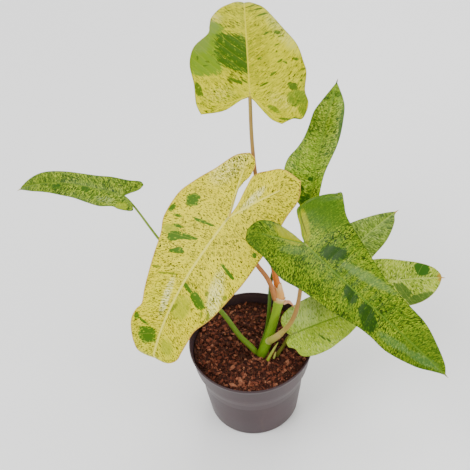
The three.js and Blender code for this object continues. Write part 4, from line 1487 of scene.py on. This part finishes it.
            Wash("6f8441", Patch(12, 50, 5, 50, 0, 2), 0.6),
            Wash("8a9a60", Patch(-9.4, 14.5, 5, 12, 0, 2), 0.7),
        ),
        tints=(
            Tint("2a4e08", "4f7112",
                 (Patch(-4.1, 66, 3, 5, 0, 2), Patch(-3, 36, 3.5, 4, 0, 2)), 0.3, 4.0, 0.9),
            Tint("8b9c14", "a3b022", (Patch(-11.5, -2.6, 4, 5, 0, 2),), 0.5, 2.6, 0.85),
        ),
        streaks=0.4, vein_strength=0.1, rib_width=0.7, roughness=0.36, gloss=0.14, seed=7.3,
    ),
}


# Stalks, stem and shoots


@dataclass(frozen=True)
class StalkFinish:
    """Skin of a stalk or stem: its colour at the foot, in the middle and at the top, with fine streaks.

    DRIFT, STREAK and SPOT say how fine each noise is: about that many waves to a metre. The two names
    with TO say over which share of the length one colour gives way to the next.
    """

    foot: str
    middle: str
    top: str
    streak: str
    streaks: float = 0.35
    roughness: float = 0.42

    DRIFT = 90.0
    STREAK = (1800, 1800, 260)
    SPOT = 900.0
    FOOT_TO_MIDDLE = (0.02, 0.4)
    MIDDLE_TO_TOP = (0.5, 0.98)
    STREAK_EDGE = (0.5, 0.75)
    SPOT_EDGE = (0.62, 0.72)
    SPOT_SHARE = 0.7
    BUMP = (0.3, 0.0004)
    GLOSS = 0.2

    def dress(self, name: str) -> bpy.types.Material:
        """Makes the material, which reads the piece's own map.

        Args:
            name: The finish's name.

        Returns:
            The material.
        """
        bench = Bench(name)
        _, along = bench.split(bench.map_place("skin"))
        place = bench.object_place()
        drift = bench.noise(place, self.DRIFT, 2.0)
        share = bench.math("MULTIPLY_ADD", bench.math("SUBTRACT", drift, 0.5), 0.25, along)
        colour = bench.mix(bench.step(share, *self.FOOT_TO_MIDDLE), paint(self.foot), paint(self.middle))
        colour = bench.mix(bench.step(share, *self.MIDDLE_TO_TOP), colour, paint(self.top))
        fine = bench.noise(bench.vector("MULTIPLY", place, self.STREAK), 1.0, 3.0, 0.6)
        streaks = bench.math("MULTIPLY", bench.step(fine, *self.STREAK_EDGE), self.streaks)
        colour = bench.mix(streaks, colour, paint(self.streak))
        spots = bench.noise(place, self.SPOT, 2.0)
        dotted = bench.step(spots, *self.SPOT_EDGE)
        dotted = bench.math("MULTIPLY", dotted, self.streaks * self.SPOT_SHARE)
        colour = bench.mix(dotted, colour, paint(self.streak))
        normal = bench.bump(bench.math("MULTIPLY_ADD", fine, 0.7, spots), *self.BUMP)
        roughness = bench.math("MULTIPLY_ADD", spots, 0.2, self.roughness - 0.1)
        return bench.finish(colour, roughness, normal, Specular_IOR_Level=self.GLOSS)


class Tube:
    """A tapering round shape along a smooth route."""

    def __init__(self, points: Sequence[Triple], radii: Sequence[Pair], steps: int = 60, sides: int = 20,
                 section: Callable[[float, float], float] | None = None) -> None:
        """Sets out the tube.

        Args:
            points: Its route, in millimetres.
            radii: Stops of radius along the route.
            steps: Lengths it is divided into.
            sides: Sides of its section.
            section: Scale of the radius for a share of length and an angle.
        """
        self.route = Spline(points, centripetal=True)
        self.radii = radii
        self.steps = steps
        self.sides = sides
        self.section = section or (lambda share, angle: 1.0)

    def frames(self) -> list[tuple[Vector, Vector, Vector]]:
        """The rings that the tube passes through, without twist.

        Returns:
            Centre and two crossways directions of each ring.
        """
        tangent = self.route.along(0.0)
        across = tangent.orthogonal().normalized()
        rings = []
        for i in range(self.steps + 1):
            ahead = self.route.along(i / self.steps)
            across = (tangent.rotation_difference(ahead) @ across).normalized()
            tangent = ahead
            rings.append((self.route.at(i / self.steps), across, tangent.cross(across).normalized()))
        return rings

    def add(self, bm: bmesh.types.BMesh) -> list[bmesh.types.BMFace]:
        """Adds the tube to a mesh, with its skin map.

        Args:
            bm: The mesh.

        Returns:
            The tube's faces.
        """
        skin = bm.loops.layers.uv.get("skin") or bm.loops.layers.uv.new("skin")
        older = bm.verts.layers.int.get("older") or bm.verts.layers.int.new("older")
        for vert in bm.verts:
            vert[older] = 1
        made = bmesh.ops.create_cone(bm, cap_ends=True, segments=self.sides, radius1=1, radius2=1, depth=1)
        edges = {e for v in made["verts"] for e in v.link_edges}
        walls = [e for e in edges if abs(e.verts[0].co.z - e.verts[1].co.z) > 0.5]
        bmesh.ops.subdivide_edges(bm, edges=walls, cuts=self.steps - 1, use_grid_fill=True)
        seen = [v for v in bm.verts if not v[older]]
        rings = self.frames()
        share = {}
        for vert in seen:
            t = min(max(vert.co.z + 0.5, 0.0), 1.0)
            i = round(t * self.steps)
            centre, across, other = rings[i]
            reach = math.hypot(vert.co.x, vert.co.y)
            angle = math.atan2(vert.co.y, vert.co.x)
            radius = read_stops(self.radii, t) * reach * self.section(t, angle)
            share[vert] = (angle / (2 * math.pi) + 0.5, t)
            vert.co = centre + (across * math.cos(angle) + other * math.sin(angle)) * radius
        faces = list({f for v in seen for f in v.link_faces})
        for face in faces:
            for loop in face.loops:
                loop[skin].uv = share[loop.vert]
        return faces


# Two points in the soil under a stalk: their share of its distance from the middle, and their depth
ROOTS = ((0.86, 20), (0.94, 10))


def rooted(points: Sequence[Triple]) -> list[Triple]:
    """A stalk's route carried down into the soil, a little towards the middle."""
    x, y, z = points[0]
    return [*((share * x, share * y, z - depth) for share, depth in ROOTS), *points]


@dataclass(frozen=True)
class Stalk:
    """The stalk of one leaf, from the soil or the stem to under its blade.

    ENDS holds its last two points: their place along the midrib, and their depth under it as a share
    of the radius and a length more. TIP_RADII holds places near the end with shares of the radius.
    """

    form: LeafForm
    finish: StalkFinish

    SOIL_LINE = 90.0
    ENDS = ((-1.0, 1.05, 0.3), (9.0, 0.5, 0.6))
    TIP_RADII = ((0.95, 0.98), (1.0, 0.35))
    CHANNEL = 0.12
    FLUTING = 0.015

    def build(self) -> bpy.types.Object:
        """Makes the stalk.

        Returns:
            The piece.
        """
        surface = LeafSurface(self.form)
        *early, (_, last) = self.form.stalk_radii
        ends = []
        for y, share, more in self.ENDS:
            drop = share * last + more
            ends.append(tuple(surface.on_midrib(y) - surface.frame(y)[2] * drop))
        grows = self.form.stalk[0][2] < self.SOIL_LINE
        points = [*(rooted(self.form.stalk) if grows else self.form.stalk), *ends]
        radii = [*early, *((place, last * share) for place, share in self.TIP_RADII)]

        def groove(share: float, angle: float) -> float:
            """A shallow channel along one side and a slight lengthwise fluting."""
            channel = self.CHANNEL * max(0.0, math.cos(angle)) ** 6
            return 1.0 - channel + self.FLUTING * math.cos(5 * angle)

        bm = bmesh.new()
        Tube(points, radii, steps=90, sides=20, section=groove).add(bm)
        letter = self.form.letter
        return store(bm, "stalk_" + letter, (self.finish.dress("stalk_skin_" + letter),))


STALK_FINISHES = {
    "a": StalkFinish("d97a26", "9a6a40", "a38e44", "6f4524", 0.5),
    "b": StalkFinish("c4824a", "a86c3c", "c4bc5c", "824c30", 0.5),
    "c": StalkFinish("bdb350", "9a7238", "8f9a34", "6f4c28", 0.5),
    "d": StalkFinish("5c7f22", "577722", "66832a", "41611a"),
    "e": StalkFinish("75853a", "7a883e", "849346", "5c6c2c"),
    "f": StalkFinish("75853a", "7a883e", "849346", "5c6c2c"),
    "g": StalkFinish("74742a", "6f7128", "788832", "4f4c1c"),
    "h": StalkFinish("6f8f26", "688722", "78902e", "486b1a"),
}


@dataclass(frozen=True)
class Sheath:
    """A thin open sleeve that clasps the foot of a stalk, with a torn rim."""

    name: str
    slot: str
    path: tuple[Triple, ...]
    radii: tuple[Pair, ...]
    finish: StalkFinish
    open_at: float = 0.0
    tear: float = 1.4
    wall: float = 0.3
    seed: float = 0.0

    LAP = 0.16
    LAP_WIDTH = 0.5
    FRAY = 2.2

    def build(self) -> bpy.types.Object:
        """Makes the sleeve.

        Returns:
            The piece.
        """
        def lapped(share: float, angle: float) -> float:
            """One edge of the sleeve laps over the other and stands off."""
            return 1.0 + self.LAP * share * math.exp(-((angle - self.open_at) / self.LAP_WIDTH) ** 2)

        bm = bmesh.new()
        Tube(self.path, self.radii, steps=30, sides=40, section=lapped).add(bm)
        skin = bm.loops.layers.uv["skin"]
        ends = [f for f in bm.faces if len(f.verts) > 4]
        bmesh.ops.delete(bm, geom=ends, context="FACES_ONLY")
        route = Spline(self.path, centripetal=True)
        ahead = route.along(1.0)
        place = {loop.vert: loop[skin].uv.copy() for face in bm.faces for loop in face.loops}
        for vert, (turn, share) in place.items():
            angle = ABOUT_A_TURN * turn
            round_it = Vector((math.cos(angle), math.sin(angle), self.seed))
            vert.co += ahead * (self.tear * noise.fractal(round_it * self.FRAY, 0.8, 2, 3) * share ** 4)
        bmesh.ops.recalc_face_normals(bm, faces=bm.faces)
        bmesh.ops.solidify(bm, geom=bm.faces[:], thickness=self.wall)
        return store(bm, self.name, (self.finish.dress(self.name + "_skin"),))


SHEATHS = (
    Sheath("sheath_a", "petiole_a", ((29.4, 17, 136), (30, 18, 139.5), (29.5, 20.5, 144), (28.6, 24, 150)),
           ((0, 4.6), (0.3, 4.5), (0.7, 3.9), (1, 3.4)),
           StalkFinish("dc8c3c", "e8aa5c", "f0c88c", "cc763a", 0.5), open_at=-0.6, tear=3.0, seed=2.0),
    Sheath("node_frill", "stem", ((28.6, 15.6, 133.6), (29.4, 17, 135.8), (30.2, 18.3, 138.2)),
           ((0, 4.9), (0.5, 5.2), (1, 5.7)),
           StalkFinish("a9b440", "dcc070", "efd2a8", "d9946c", 0.5), open_at=1.0, tear=1.8, seed=5.0),
    Sheath("sheath_c", "petiole_c",
           ((16.6, -4.7, 100.6), (20.0, -8.6, 108.2), (24.4, -11.2, 115.4), (28.6, -12.6, 122)),
           ((0, 4.0), (0.35, 3.5), (0.7, 3.1), (1, 2.9)),
           StalkFinish("c9cc7c", "b0b050", "c0a860", "7f8a38", 0.4), open_at=2.0, tear=3.2, seed=9.0),
)


@dataclass(frozen=True)
class Stem:
    """The short green stem with its swollen nodes and leaf scars."""

    path: tuple[Triple, ...] = ((10, -9, 87), (15, -5, 98), (24, 8, 120), (30, 18, 138))
    radii: tuple[Pair, ...] = ((0, 5.0), (0.25, 5.2), (0.4, 4.5), (0.85, 4.3), (0.95, 4.7), (1, 4.6))
    finish: StalkFinish = StalkFinish("203c04", "729c08", "8fb01a", "487008", 0.35, 0.4)
    scars: Triple = (0.42, 0.55, 0.9)
    scar_width: float = 0.012
    scar_height: float = 0.07

    def build(self) -> bpy.types.Object:
        """Makes the stem.

        Returns:
            The piece.
        """
        def nodes(share: float, angle: float) -> float:
            """Rings where leaves once grew."""
            rings = sum(math.exp(-((share - place) / self.scar_width) ** 2) for place in self.scars)
            return 1.0 + self.scar_height * rings + 0.02 * math.cos(3 * angle + 6 * share)

        bm = bmesh.new()
        Tube(rooted(self.path), self.radii, steps=96, sides=28, section=nodes).add(bm)
        return store(bm, "main_stem", (self.finish.dress("stem_skin"),))


@dataclass(frozen=True)
class Sprout:
    """A small pointed growth: a sheath's tip or a new shoot."""

    name: str
    slot: str
    path: tuple[Triple, ...]
    radii: tuple[Pair, ...]
    finish: StalkFinish
    rooted: bool = True

    PLEAT_AT = 0.8
    PLEAT_WIDTH = 0.35
    PLEAT_HEIGHT = 0.14

    def build(self) -> bpy.types.Object:
        """Makes the growth.

        Returns:
            The piece.
        """
        def pleat(share: float, angle: float) -> float:
            """A rolled edge down one side."""
            edge = math.exp(-((angle - self.PLEAT_AT) / self.PLEAT_WIDTH) ** 2)
            return 1.0 + self.PLEAT_HEIGHT * edge * (1 - share)

        bm = bmesh.new()
        path = rooted(self.path) if self.rooted else self.path
        Tube(path, self.radii, steps=40, sides=18, section=pleat).add(bm)
        return store(bm, self.name, (self.finish.dress(self.name + "_skin"),))


SPROUTS = (
    Sprout("cataphyll_curl", "cataphyll",
           ((33.4, 15.6, 132.5), (38, 15, 134.5), (41, 14, 132), (43, 13, 128)),
           ((0, 2.0), (0.5, 1.4), (1, 0.3)),
           StalkFinish("e8b896", "dca080", "c8785c", "b8604a", 0.4), rooted=False),
    Sprout("young_shoot", "sprout", ((15, -17, 87), (21, -12, 96), (26, -9, 104)),
           ((0, 1.9), (0.4, 1.7), (0.8, 1.2), (1, 0.3)),
           StalkFinish("7c8c24", "9aaa34", "bdc158", "6b7b22", 0.35)),
    Sprout("young_bud", "sprout", ((21, -15, 87), (22, -14.5, 91), (23, -14, 95)),
           ((0, 1.7), (0.5, 1.5), (0.85, 1.0), (1, 0.3)),
           StalkFinish("7c8c24", "a3b040", "c6c868", "6b7b22", 0.35)),
)


# Pot and soil


@dataclass(frozen=True)
class PotFinish:
    """Moulded taupe plastic with a fine satin skin, scuffs and a trace of dried soil.

    CLOUD, DRIP, GRAIN and SCRATCH say how fine each noise is: about that many waves to a metre.
    """

    body: str = "3d2e31"
    faded: str = "473639"
    dust: str = "5c4a40"

    CLOUD = 28.0
    DRIP = (160, 160, 14)
    GRAIN = 2600.0
    SCRATCH = (220, 220, 2400)
    FADE_EDGE = (0.35, 0.7)
    DRIP_EDGE = (0.55, 0.8)
    DRIP_SHARE = 0.35
    SCRATCH_EDGE = (0.6, 0.75)
    SCRATCH_HEIGHT = -0.25
    BUMP = (0.18, 0.0002)
    GLOSS = 0.22

    def dress(self) -> bpy.types.Material:
        """Makes the material.

        Returns:
            The material.
        """
        bench = Bench("pot_plastic")
        place = bench.object_place()
        cloud = bench.noise(place, self.CLOUD, 3.0)
        colour = bench.mix(bench.step(cloud, *self.FADE_EDGE), paint(self.body), paint(self.faded))
        drips = bench.noise(bench.vector("MULTIPLY", place, self.DRIP), 1.0, 4.0, 0.6)
        streaked = bench.math("MULTIPLY", bench.step(drips, *self.DRIP_EDGE), self.DRIP_SHARE)
        colour = bench.mix(streaked, colour, paint(self.dust))
        grain = bench.noise(place, self.GRAIN, 2.0)
        scratches = bench.noise(bench.vector("MULTIPLY", place, self.SCRATCH), 1.0, 2.0)
        scratched = bench.step(scratches, *self.SCRATCH_EDGE)
        height = bench.math("MULTIPLY_ADD", scratched, self.SCRATCH_HEIGHT, grain)
        normal = bench.bump(height, *self.BUMP)
        roughness = bench.math("MULTIPLY_ADD", cloud, 0.22, 0.3)
        return bench.finish(colour, roughness, normal, Specular_IOR_Level=self.GLOSS)


@dataclass(frozen=True)
class Pot:
    """The tapered nursery pot, turned from its wall profile."""

    outside: tuple[Pair, ...] = (
        (42.8, 0), (44, 1.4), (48, 33), (49.6, 51), (51.8, 61), (55.3, 71), (56.2, 75), (58.8, 92),
        (60, 95.4), (59.8, 97),
    )
    wall: float = 1.3
    foot_height: float = 2.4
    floor_top: float = 4.2
    pad_radius: float = 17.0
    steps: int = 112
    drain_radius: float = 3.2
    drain_circle: float = 27.0
    notch: Triple = (12.0, 9.0, 2.8)
    notch_turn: float = 0.12
    count: int = 6

    MERGE = 0.001
    PAD_SLOPE = 1.5
    RING_FOOT = 4
    RING_ROOT = 5.5
    INSIDE_CORNER = 2
    SHARP = math.radians(3.5)
    EDGE_ROUND = 0.42
    DRILL_DEPTH = 14
    DRILL_MIDDLE = 2
    CREASE = math.radians(40)

    def profile(self) -> list[Pair]:
        """The wall's section from the axis round to the axis.

        Returns:
            Radii and heights: underside, foot ring, outside, rim, inside and floor.
        """
        (top, height), heel = self.outside[-1], self.outside[1][0]
        inner = [(r - self.wall, z) for r, z in reversed(self.outside[2:-1])]
        inside = heel - self.wall
        return [
            (0, 0), (self.pad_radius - self.PAD_SLOPE, 0), (self.pad_radius, self.foot_height),
            (heel - self.RING_ROOT, self.foot_height), (heel - self.RING_FOOT, 0), *self.outside,
            (top - self.wall, height), *inner, (inside, self.floor_top + self.INSIDE_CORNER),
            (inside - self.INSIDE_CORNER, self.floor_top), (0, self.floor_top),
        ]

    def turned(self) -> bmesh.types.BMesh:
        """Spins the section and rounds its edges.

        Returns:
            The pot without its holes.
        """
        bm = bmesh.new()
        spin_round(bm, self.profile(), self.steps, self.MERGE)
        rings = [e for e in bm.edges if e.is_manifold and e.calc_face_angle() > self.SHARP
                 and abs(e.verts[0].co.z - e.verts[1].co.z) < 1e-4
                 and min(v.co.xy.length for v in e.verts) > 5]
        bmesh.ops.bevel(bm, geom=rings, offset=self.EDGE_ROUND, offset_type="OFFSET", affect="EDGES",
                        segments=3, profile=0.5, clamp_overlap=True, material=-1)
        return bm

    def cutters(self) -> bmesh.types.BMesh:
        """The drain holes and the notches in the foot, as solids to cut away.

        Returns:
            The solids.
        """
        bm = bmesh.new()
        for i in range(self.count):
            angle = 2 * math.pi * (i + 0.5) / self.count
            drill = Matrix.Rotation(angle, 4, "Z")
            drill = drill @ Matrix.Translation((self.drain_circle, 0, self.DRILL_MIDDLE))
            bmesh.ops.create_cone(bm, cap_ends=True, segments=28, radius1=self.drain_radius,
                                  radius2=self.drain_radius, depth=self.DRILL_DEPTH, matrix=drill)
            slot = Matrix.Rotation(angle + self.notch_turn, 4, "Z")
            slot = slot @ Matrix.Translation((self.outside[0][0], 0, 0)) @ Matrix.Diagonal((*self.notch, 1))
            bmesh.ops.create_cube(bm, size=1.0, matrix=slot)
        return bm

    def build(self, finish: PotFinish) -> bpy.types.Object:
        """Makes the pot.

        Args:
            finish: Its plastic.

        Returns:
            The piece.
        """
        pot = store(self.turned(), "nursery_pot", (finish.dress(),))
        tools = store(self.cutters(), "pot_cutters", ())
        cut = pot.modifiers.new("holes", "BOOLEAN")
        cut.operation = "DIFFERENCE"
        cut.solver = "EXACT"
        cut.object = tools
        shape = bpy.data.meshes.new_from_object(pot.evaluated_get(bpy.context.evaluated_depsgraph_get()))
        pot.modifiers.clear()
        pot.data = shape
        pot.data.shade_smooth()
        pot.data.set_sharp_from_angle(angle=self.CREASE)
        bpy.data.objects.remove(tools)
        return pot


@dataclass(frozen=True)
class SoilFinish:
    """Damp bark and coco: dark browns from chip to chip, with fibres in the grain.

    DRIFT and grain say how fine each noise is: about that many waves to a metre. The dark crevice colour is
    painted shadow, laid where the fibre noise is low and the bump sinks between the fibres.
    """

    dark: str
    middle: str
    light: str
    grain: float = 700.0

    DRIFT = 260.0
    # Painted shadow: the dark colour laid in the low gaps between the fibres.
    CREVICE_SHADOW = "140a06"
    DARK_TO_MIDDLE = (0.1, 0.75)
    MIDDLE_TO_LIGHT = (0.72, 1.15)
    CREVICE_SHADOW_EDGE = (0.5, 0.25)
    BUMP = (0.6, 0.0008)
    GLOSS = 0.25

    def dress(self, name: str) -> bpy.types.Material:
        """Makes the material, tinted piece by piece from the tint map.

        Args:
            name: The finish's name.

        Returns:
            The material.
        """
        bench = Bench(name)
        place = bench.object_place()
        tint, _ = bench.split(bench.map_place("tint"))
        drift = bench.noise(place, self.DRIFT, 4.0, 0.7)
        share = bench.math("MULTIPLY_ADD", bench.math("SUBTRACT", drift, 0.5), 0.9, tint)
        colour = bench.mix(bench.step(share, *self.DARK_TO_MIDDLE), paint(self.dark), paint(self.middle))
        colour = bench.mix(bench.step(share, *self.MIDDLE_TO_LIGHT), colour, paint(self.light))
        fine = bench.vector("MULTIPLY", place, (self.grain, self.grain * 3, self.grain))
        fibre = bench.noise(fine, 1.0, 4.0, 0.7)
        # Painted shadow: the dark crevice colour goes where the fibre noise, and so the bump, is low.
        colour = bench.mix(bench.step(fibre, *self.CREVICE_SHADOW_EDGE), colour, paint(self.CREVICE_SHADOW))
        normal = bench.bump(bench.math("ADD", fibre, drift), *self.BUMP)
        roughness = bench.math("MULTIPLY_ADD", fibre, 0.25, 0.68)
        return bench.finish(colour, roughness, normal, Specular_IOR_Level=self.GLOSS)


EARTH = SoilFinish("341810", "643020", "8c4a30")
BARK = SoilFinish("401d12", "7a3e2a", "b07456")
COIR = SoilFinish("3a2418", "6d4630", "a87a52")


def shade_faces(bm: bmesh.types.BMesh, faces: Iterable[bmesh.types.BMFace], shade: float) -> None:
    """Writes one shade into the tint map of some faces.

    Args:
        bm: Their mesh, which has the map.
        faces: The faces.
        shade: The shade, from 0 for dark to 1 for light.
    """
    tint = bm.loops.layers.uv["tint"]
    for face in faces:
        for loop in face.loops:
            loop[tint].uv = (shade, 0)


@dataclass(frozen=True)
class Soil:
    """The filling of bark mix: a lumpy bed, loose chips and fibres on it.

    A chip's length is a least length plus a random part of another, with small chips more common. Its
    other sizes are ranges, as shares of its length, and CHIP_LEAN is how far it tilts about X and Y, in
    radians. Each wave of WAVES has a height, its turn along x and y, and where it begins.
    """

    top: float = 86.0
    relief: float = 0.8
    radius: float = 56.0
    inside: tuple[Pair, ...] = ((4.5, 39.6), (33, 46.3), (51, 47.9), (61, 50.1), (71, 53.6), (75, 54.5))
    lumps: tuple[Triple, ...] = (
        (-12, -40, 8), (-20, -44, 7), (-4, -43, 6), (34, -21, 6), (40, -12, 5), (-38, 3, 6),
        (7, -15.5, 5), (11, -16.5, 4.4), (3, -13.5, 4.6), (14.5, -14, 3.6), (1, -9.5, 4), (16, -21, 4),
    )
    chips: int = 2600
    fibres: int = 110
    seed: int = 41

    WAVES = ((0.5, 0.31, 0.27, 0.7), (0.5, 0.31, -0.27, 1.9), (0.6, 0.43, 0.55, 0), (0.5, 0.83, -0.61, 3.57))
    UNDERSIDE = 4.5
    RINGS = 46
    STEPS = 220
    MERGE = 0.01
    CRUMB = 0.42
    CRUMB_HEIGHT = 1.3
    UNDER_CHIPS = 0.6
    BED_SHADE = 0.25
    CHIP_LENGTH = (1.1, 3.6, 2.6)
    CHIP_WIDTH = (0.35, 0.8)
    CHIP_THICKNESS = (0.18, 0.5)
    CHIP_LEAN = (0.5, 0.35)
    CHIP_RADIUS = 0.62
    CHIP_WARP = 0.16
    LUMP_SHADE = 0.95
    FIBRE_LENGTH = (3, 9)
    FIBRE_BEND = 0.5
    FIBRE_RADII = ((0, 0.22), (1, 0.12))
    FIBRE_SHADE = 0.7

    def height(self, x: float, y: float) -> float:
        """Height of the bed: the CAD solid's own lumps."""
        lumps = sum(a * math.sin(u * x + v * y + s) for a, u, v, s in self.WAVES)
        return self.top + self.relief * lumps

    def bed(self) -> bpy.types.Object:
        """Makes the filling with its crumbly top.

        Returns:
            The piece.
        """
        bm = bmesh.new()
        bm.loops.layers.uv.new("tint")
        line = [(0, self.UNDERSIDE), *((r, z) for z, r in self.inside)]
        line += [(self.radius * (1 - i / self.RINGS), self.top) for i in range(self.RINGS + 1)]
        spin_round(bm, line, self.STEPS, self.MERGE)
        for vert in bm.verts:
            if vert.co.z > self.top - 0.5:
                x, y = vert.co.xy
                rough = noise.fractal(Vector((x, y, 0)) * self.CRUMB, 0.9, 2.1, 5) * self.CRUMB_HEIGHT
                edge = min(1.0, (self.radius - vert.co.xy.length) / 4 + 0.3)
                vert.co.z = self.height(x, y) - self.UNDER_CHIPS + rough * edge
        shade_faces(bm, bm.faces, self.BED_SHADE)
        return store(bm, "soil_bed", (EARTH.dress("soil_earth"),))

    def spot(self, dice: random.Random) -> Pair:
        """A random place on the bed.

        Args:
            dice: The source of random numbers, which gives two.

        Returns:
            Its x and y.
        """
        radius = (self.radius - 3) * math.sqrt(dice.random())
        angle = dice.uniform(0, 2 * math.pi)
        return radius * math.cos(angle), radius * math.sin(angle)

    def bark(self) -> bpy.types.Object:
        """Makes the loose chips.

        Returns:
            The piece.
        """
        dice = random.Random(self.seed)
        bm = bmesh.new()
        bm.loops.layers.uv.new("tint")
        least, more, power = self.CHIP_LENGTH
        for i in range(self.chips):
            x, y = self.spot(dice)
            long = least + more * dice.random() ** power
            if i < len(self.lumps):
                x, y, long = self.lumps[i]
            wide = long * dice.uniform(*self.CHIP_WIDTH)
            size = Vector((long, wide, long * dice.uniform(*self.CHIP_THICKNESS)))
            turn = Matrix.Rotation(dice.uniform(0, ABOUT_A_TURN), 4, "Z")
            for lean, axis in zip(self.CHIP_LEAN, "XY"):
                turn = turn @ Matrix.Rotation(dice.gauss(0, lean), 4, axis)
            rest = Vector((x, y, self.height(x, y) + 0.1 + 0.25 * size.z + dice.uniform(-0.3, 0.5)))
            chip = bmesh.ops.create_icosphere(
                bm, subdivisions=1, radius=self.CHIP_RADIUS,
                matrix=Matrix.Translation(rest) @ turn @ Matrix.Diagonal((*size, 1)))["verts"]
            for vert in chip:
                vert.co += Vector([dice.uniform(-self.CHIP_WARP, self.CHIP_WARP) * long for _ in range(3)])
            shade = self.LUMP_SHADE if i < len(self.lumps) else dice.random()
            shade_faces(bm, {f for v in chip for f in v.link_faces}, shade)
        piece = store(bm, "bark_chips", (BARK.dress("bark_skin"),))
        piece.data.shade_flat()
        return piece

    def coir(self) -> bpy.types.Object:
        """Makes the loose fibres.

        Returns:
            The piece.
        """
        dice = random.Random(self.seed + 1)
        bm = bmesh.new()
        bm.loops.layers.uv.new("tint")
        limit = self.radius - 2
        for _ in range(self.fibres):
            x, y = self.spot(dice)
            angle = dice.uniform(0, ABOUT_A_TURN)
            bend = dice.uniform(-self.FIBRE_BEND, self.FIBRE_BEND)
            length = dice.uniform(*self.FIBRE_LENGTH)
            points = []
            for i in range(5):
                share = i / 4 - 0.5
                turn = angle + bend * share
                px = x + length * share * math.cos(turn)
                py = y + length * share * math.sin(turn)
                out = math.hypot(px, py)
                if out > limit:
                    px, py = px * limit / out, py * limit / out
                points.append((px, py, self.height(px, py) + 0.5 + dice.uniform(0, 0.8)))
            Tube(points, self.FIBRE_RADII, steps=6, sides=5).add(bm)
        shade_faces(bm, bm.faces, self.FIBRE_SHADE)
        return store(bm, "coco_fibres", (COIR.dress("coir_skin"),))


# Stage


@dataclass(frozen=True)
class Lamp:
    """A large soft square lamp, with its lengths in metres and its power in watts."""

    name: str
    place: Triple
    aim: Triple
    size: float
    power: float

    def hang(self) -> None:
        """Hangs the lamp and points it."""
        data = bpy.data.lights.new(self.name, "AREA")
        data.shape = "SQUARE"
        data.size = self.size
        data.energy = self.power
        lamp = bpy.data.objects.new(self.name, data)
        lamp.location = self.place
        lamp.rotation_euler = (Vector(self.aim) - Vector(self.place)).to_track_quat("-Z", "Y").to_euler()
        bpy.context.scene.collection.objects.link(lamp)


@dataclass(frozen=True)
class Studio:
    """Plain pale floor, soft lights and the camera at the photograph's angle."""

    camera_place: Triple = (-8.3, -749.1, 1107.3)
    pitch: float = 48.76
    roll: float = -3.93
    lens: float = 99.57
    sensor: float = 36.0
    near_and_far: Pair = (0.05, 50.0)
    floor_reach: float = 9000.0
    floor_colours: tuple[str, str] = ("f6f6f6", "fbfbfb")
    air: float = 0.95
    lamps: tuple[Lamp, ...] = (
        Lamp("key_lamp", (-1.0, -0.5, 1.9), (0, 0, 0.2), 1.2, 34),
        Lamp("back_lamp", (0.6, 1.4, 1.6), (0, 0, 0.25), 1.4, 23),
        Lamp("side_lamp", (1.5, -0.7, 1.0), (0, 0, 0.2), 1.0, 13),
    )

    def camera(self) -> None:
        """Places the camera."""
        down, turn = math.radians(self.pitch), math.radians(self.roll)
        ahead = Vector((0, math.cos(down), -math.sin(down)))
        up = Vector((0, math.sin(down), math.cos(down)))
        right = Vector((1, 0, 0))
        side = right * math.cos(turn) + up * math.sin(turn)
        top = up * math.cos(turn) - right * math.sin(turn)
        data = bpy.data.cameras.new("photo_view")
        data.lens = self.lens
        data.sensor_width = self.sensor
        data.clip_start, data.clip_end = self.near_and_far
        view = bpy.data.objects.new("photo_view", data)
        view.matrix_world = Matrix.Translation(Vector(self.camera_place) * MM) @ Matrix(
            (side, top, -ahead)).transposed().to_4x4()
        bpy.context.scene.collection.objects.link(view)
        bpy.context.scene.camera = view

    def floor(self) -> bpy.types.Object:
        """Lays the floor.

        Returns:
            The floor.
        """
        bm = bmesh.new()
        bmesh.ops.create_grid(bm, x_segments=8, y_segments=8, size=self.floor_reach)
        bench = Bench("studio_floor")
        shade = bench.noise(bench.object_place(), 1.5, 2.0)
        colour = bench.mix(shade, *(paint(code) for code in self.floor_colours))
        floor = store(bm, "studio_floor", (bench.finish(colour, 0.35),))
        return floor

    def build(self) -> None:
        """Sets the stage."""
        self.camera()
        self.floor()
        for lamp in self.lamps:
            lamp.hang()
        world = bpy.data.worlds.new("studio_air")
        world.use_nodes = True
        sky = world.node_tree.nodes["Background"]
        sky.inputs[0].default_value = (1, 1, 1, 1)
        sky.inputs[1].default_value = self.air
        bpy.context.scene.world = world


def main() -> None:
    """Builds the plant piece by piece and dresses it."""
    logging.basicConfig(level=logging.INFO, format="%(name)s %(message)s", stream=sys.stdout)
    Studio().build()
    settle(Pot().build(PotFinish()), "pot", "pot")
    soil = Soil()
    settle(soil.bed(), "soil", "soil")
    settle(soil.bark(), "soil")
    settle(soil.coir(), "soil")
    settle(Stem().build(), "stem", "stem")
    for sprout, node in zip(SPROUTS, ("cataphyll", "shoot", "bud")):
        settle(sprout.build(), sprout.slot, node)
    for sheath in SHEATHS:
        settle(sheath.build(), sheath.slot)
    for form in FORMS:
        letter = form.letter
        finish = FINISHES[letter]
        upper = finish.dress(letter, Face.UPPER, form.vein_gap)
        lower = finish.dress(letter, Face.LOWER, form.vein_gap)
        settle(Blade(form).build(upper, lower), "blade_" + letter, "blade_" + letter)
        settle(Stalk(form, STALK_FINISHES[letter]).build(), "petiole_" + letter, "petiole_" + letter)


if __name__ == "__main__":
    main()
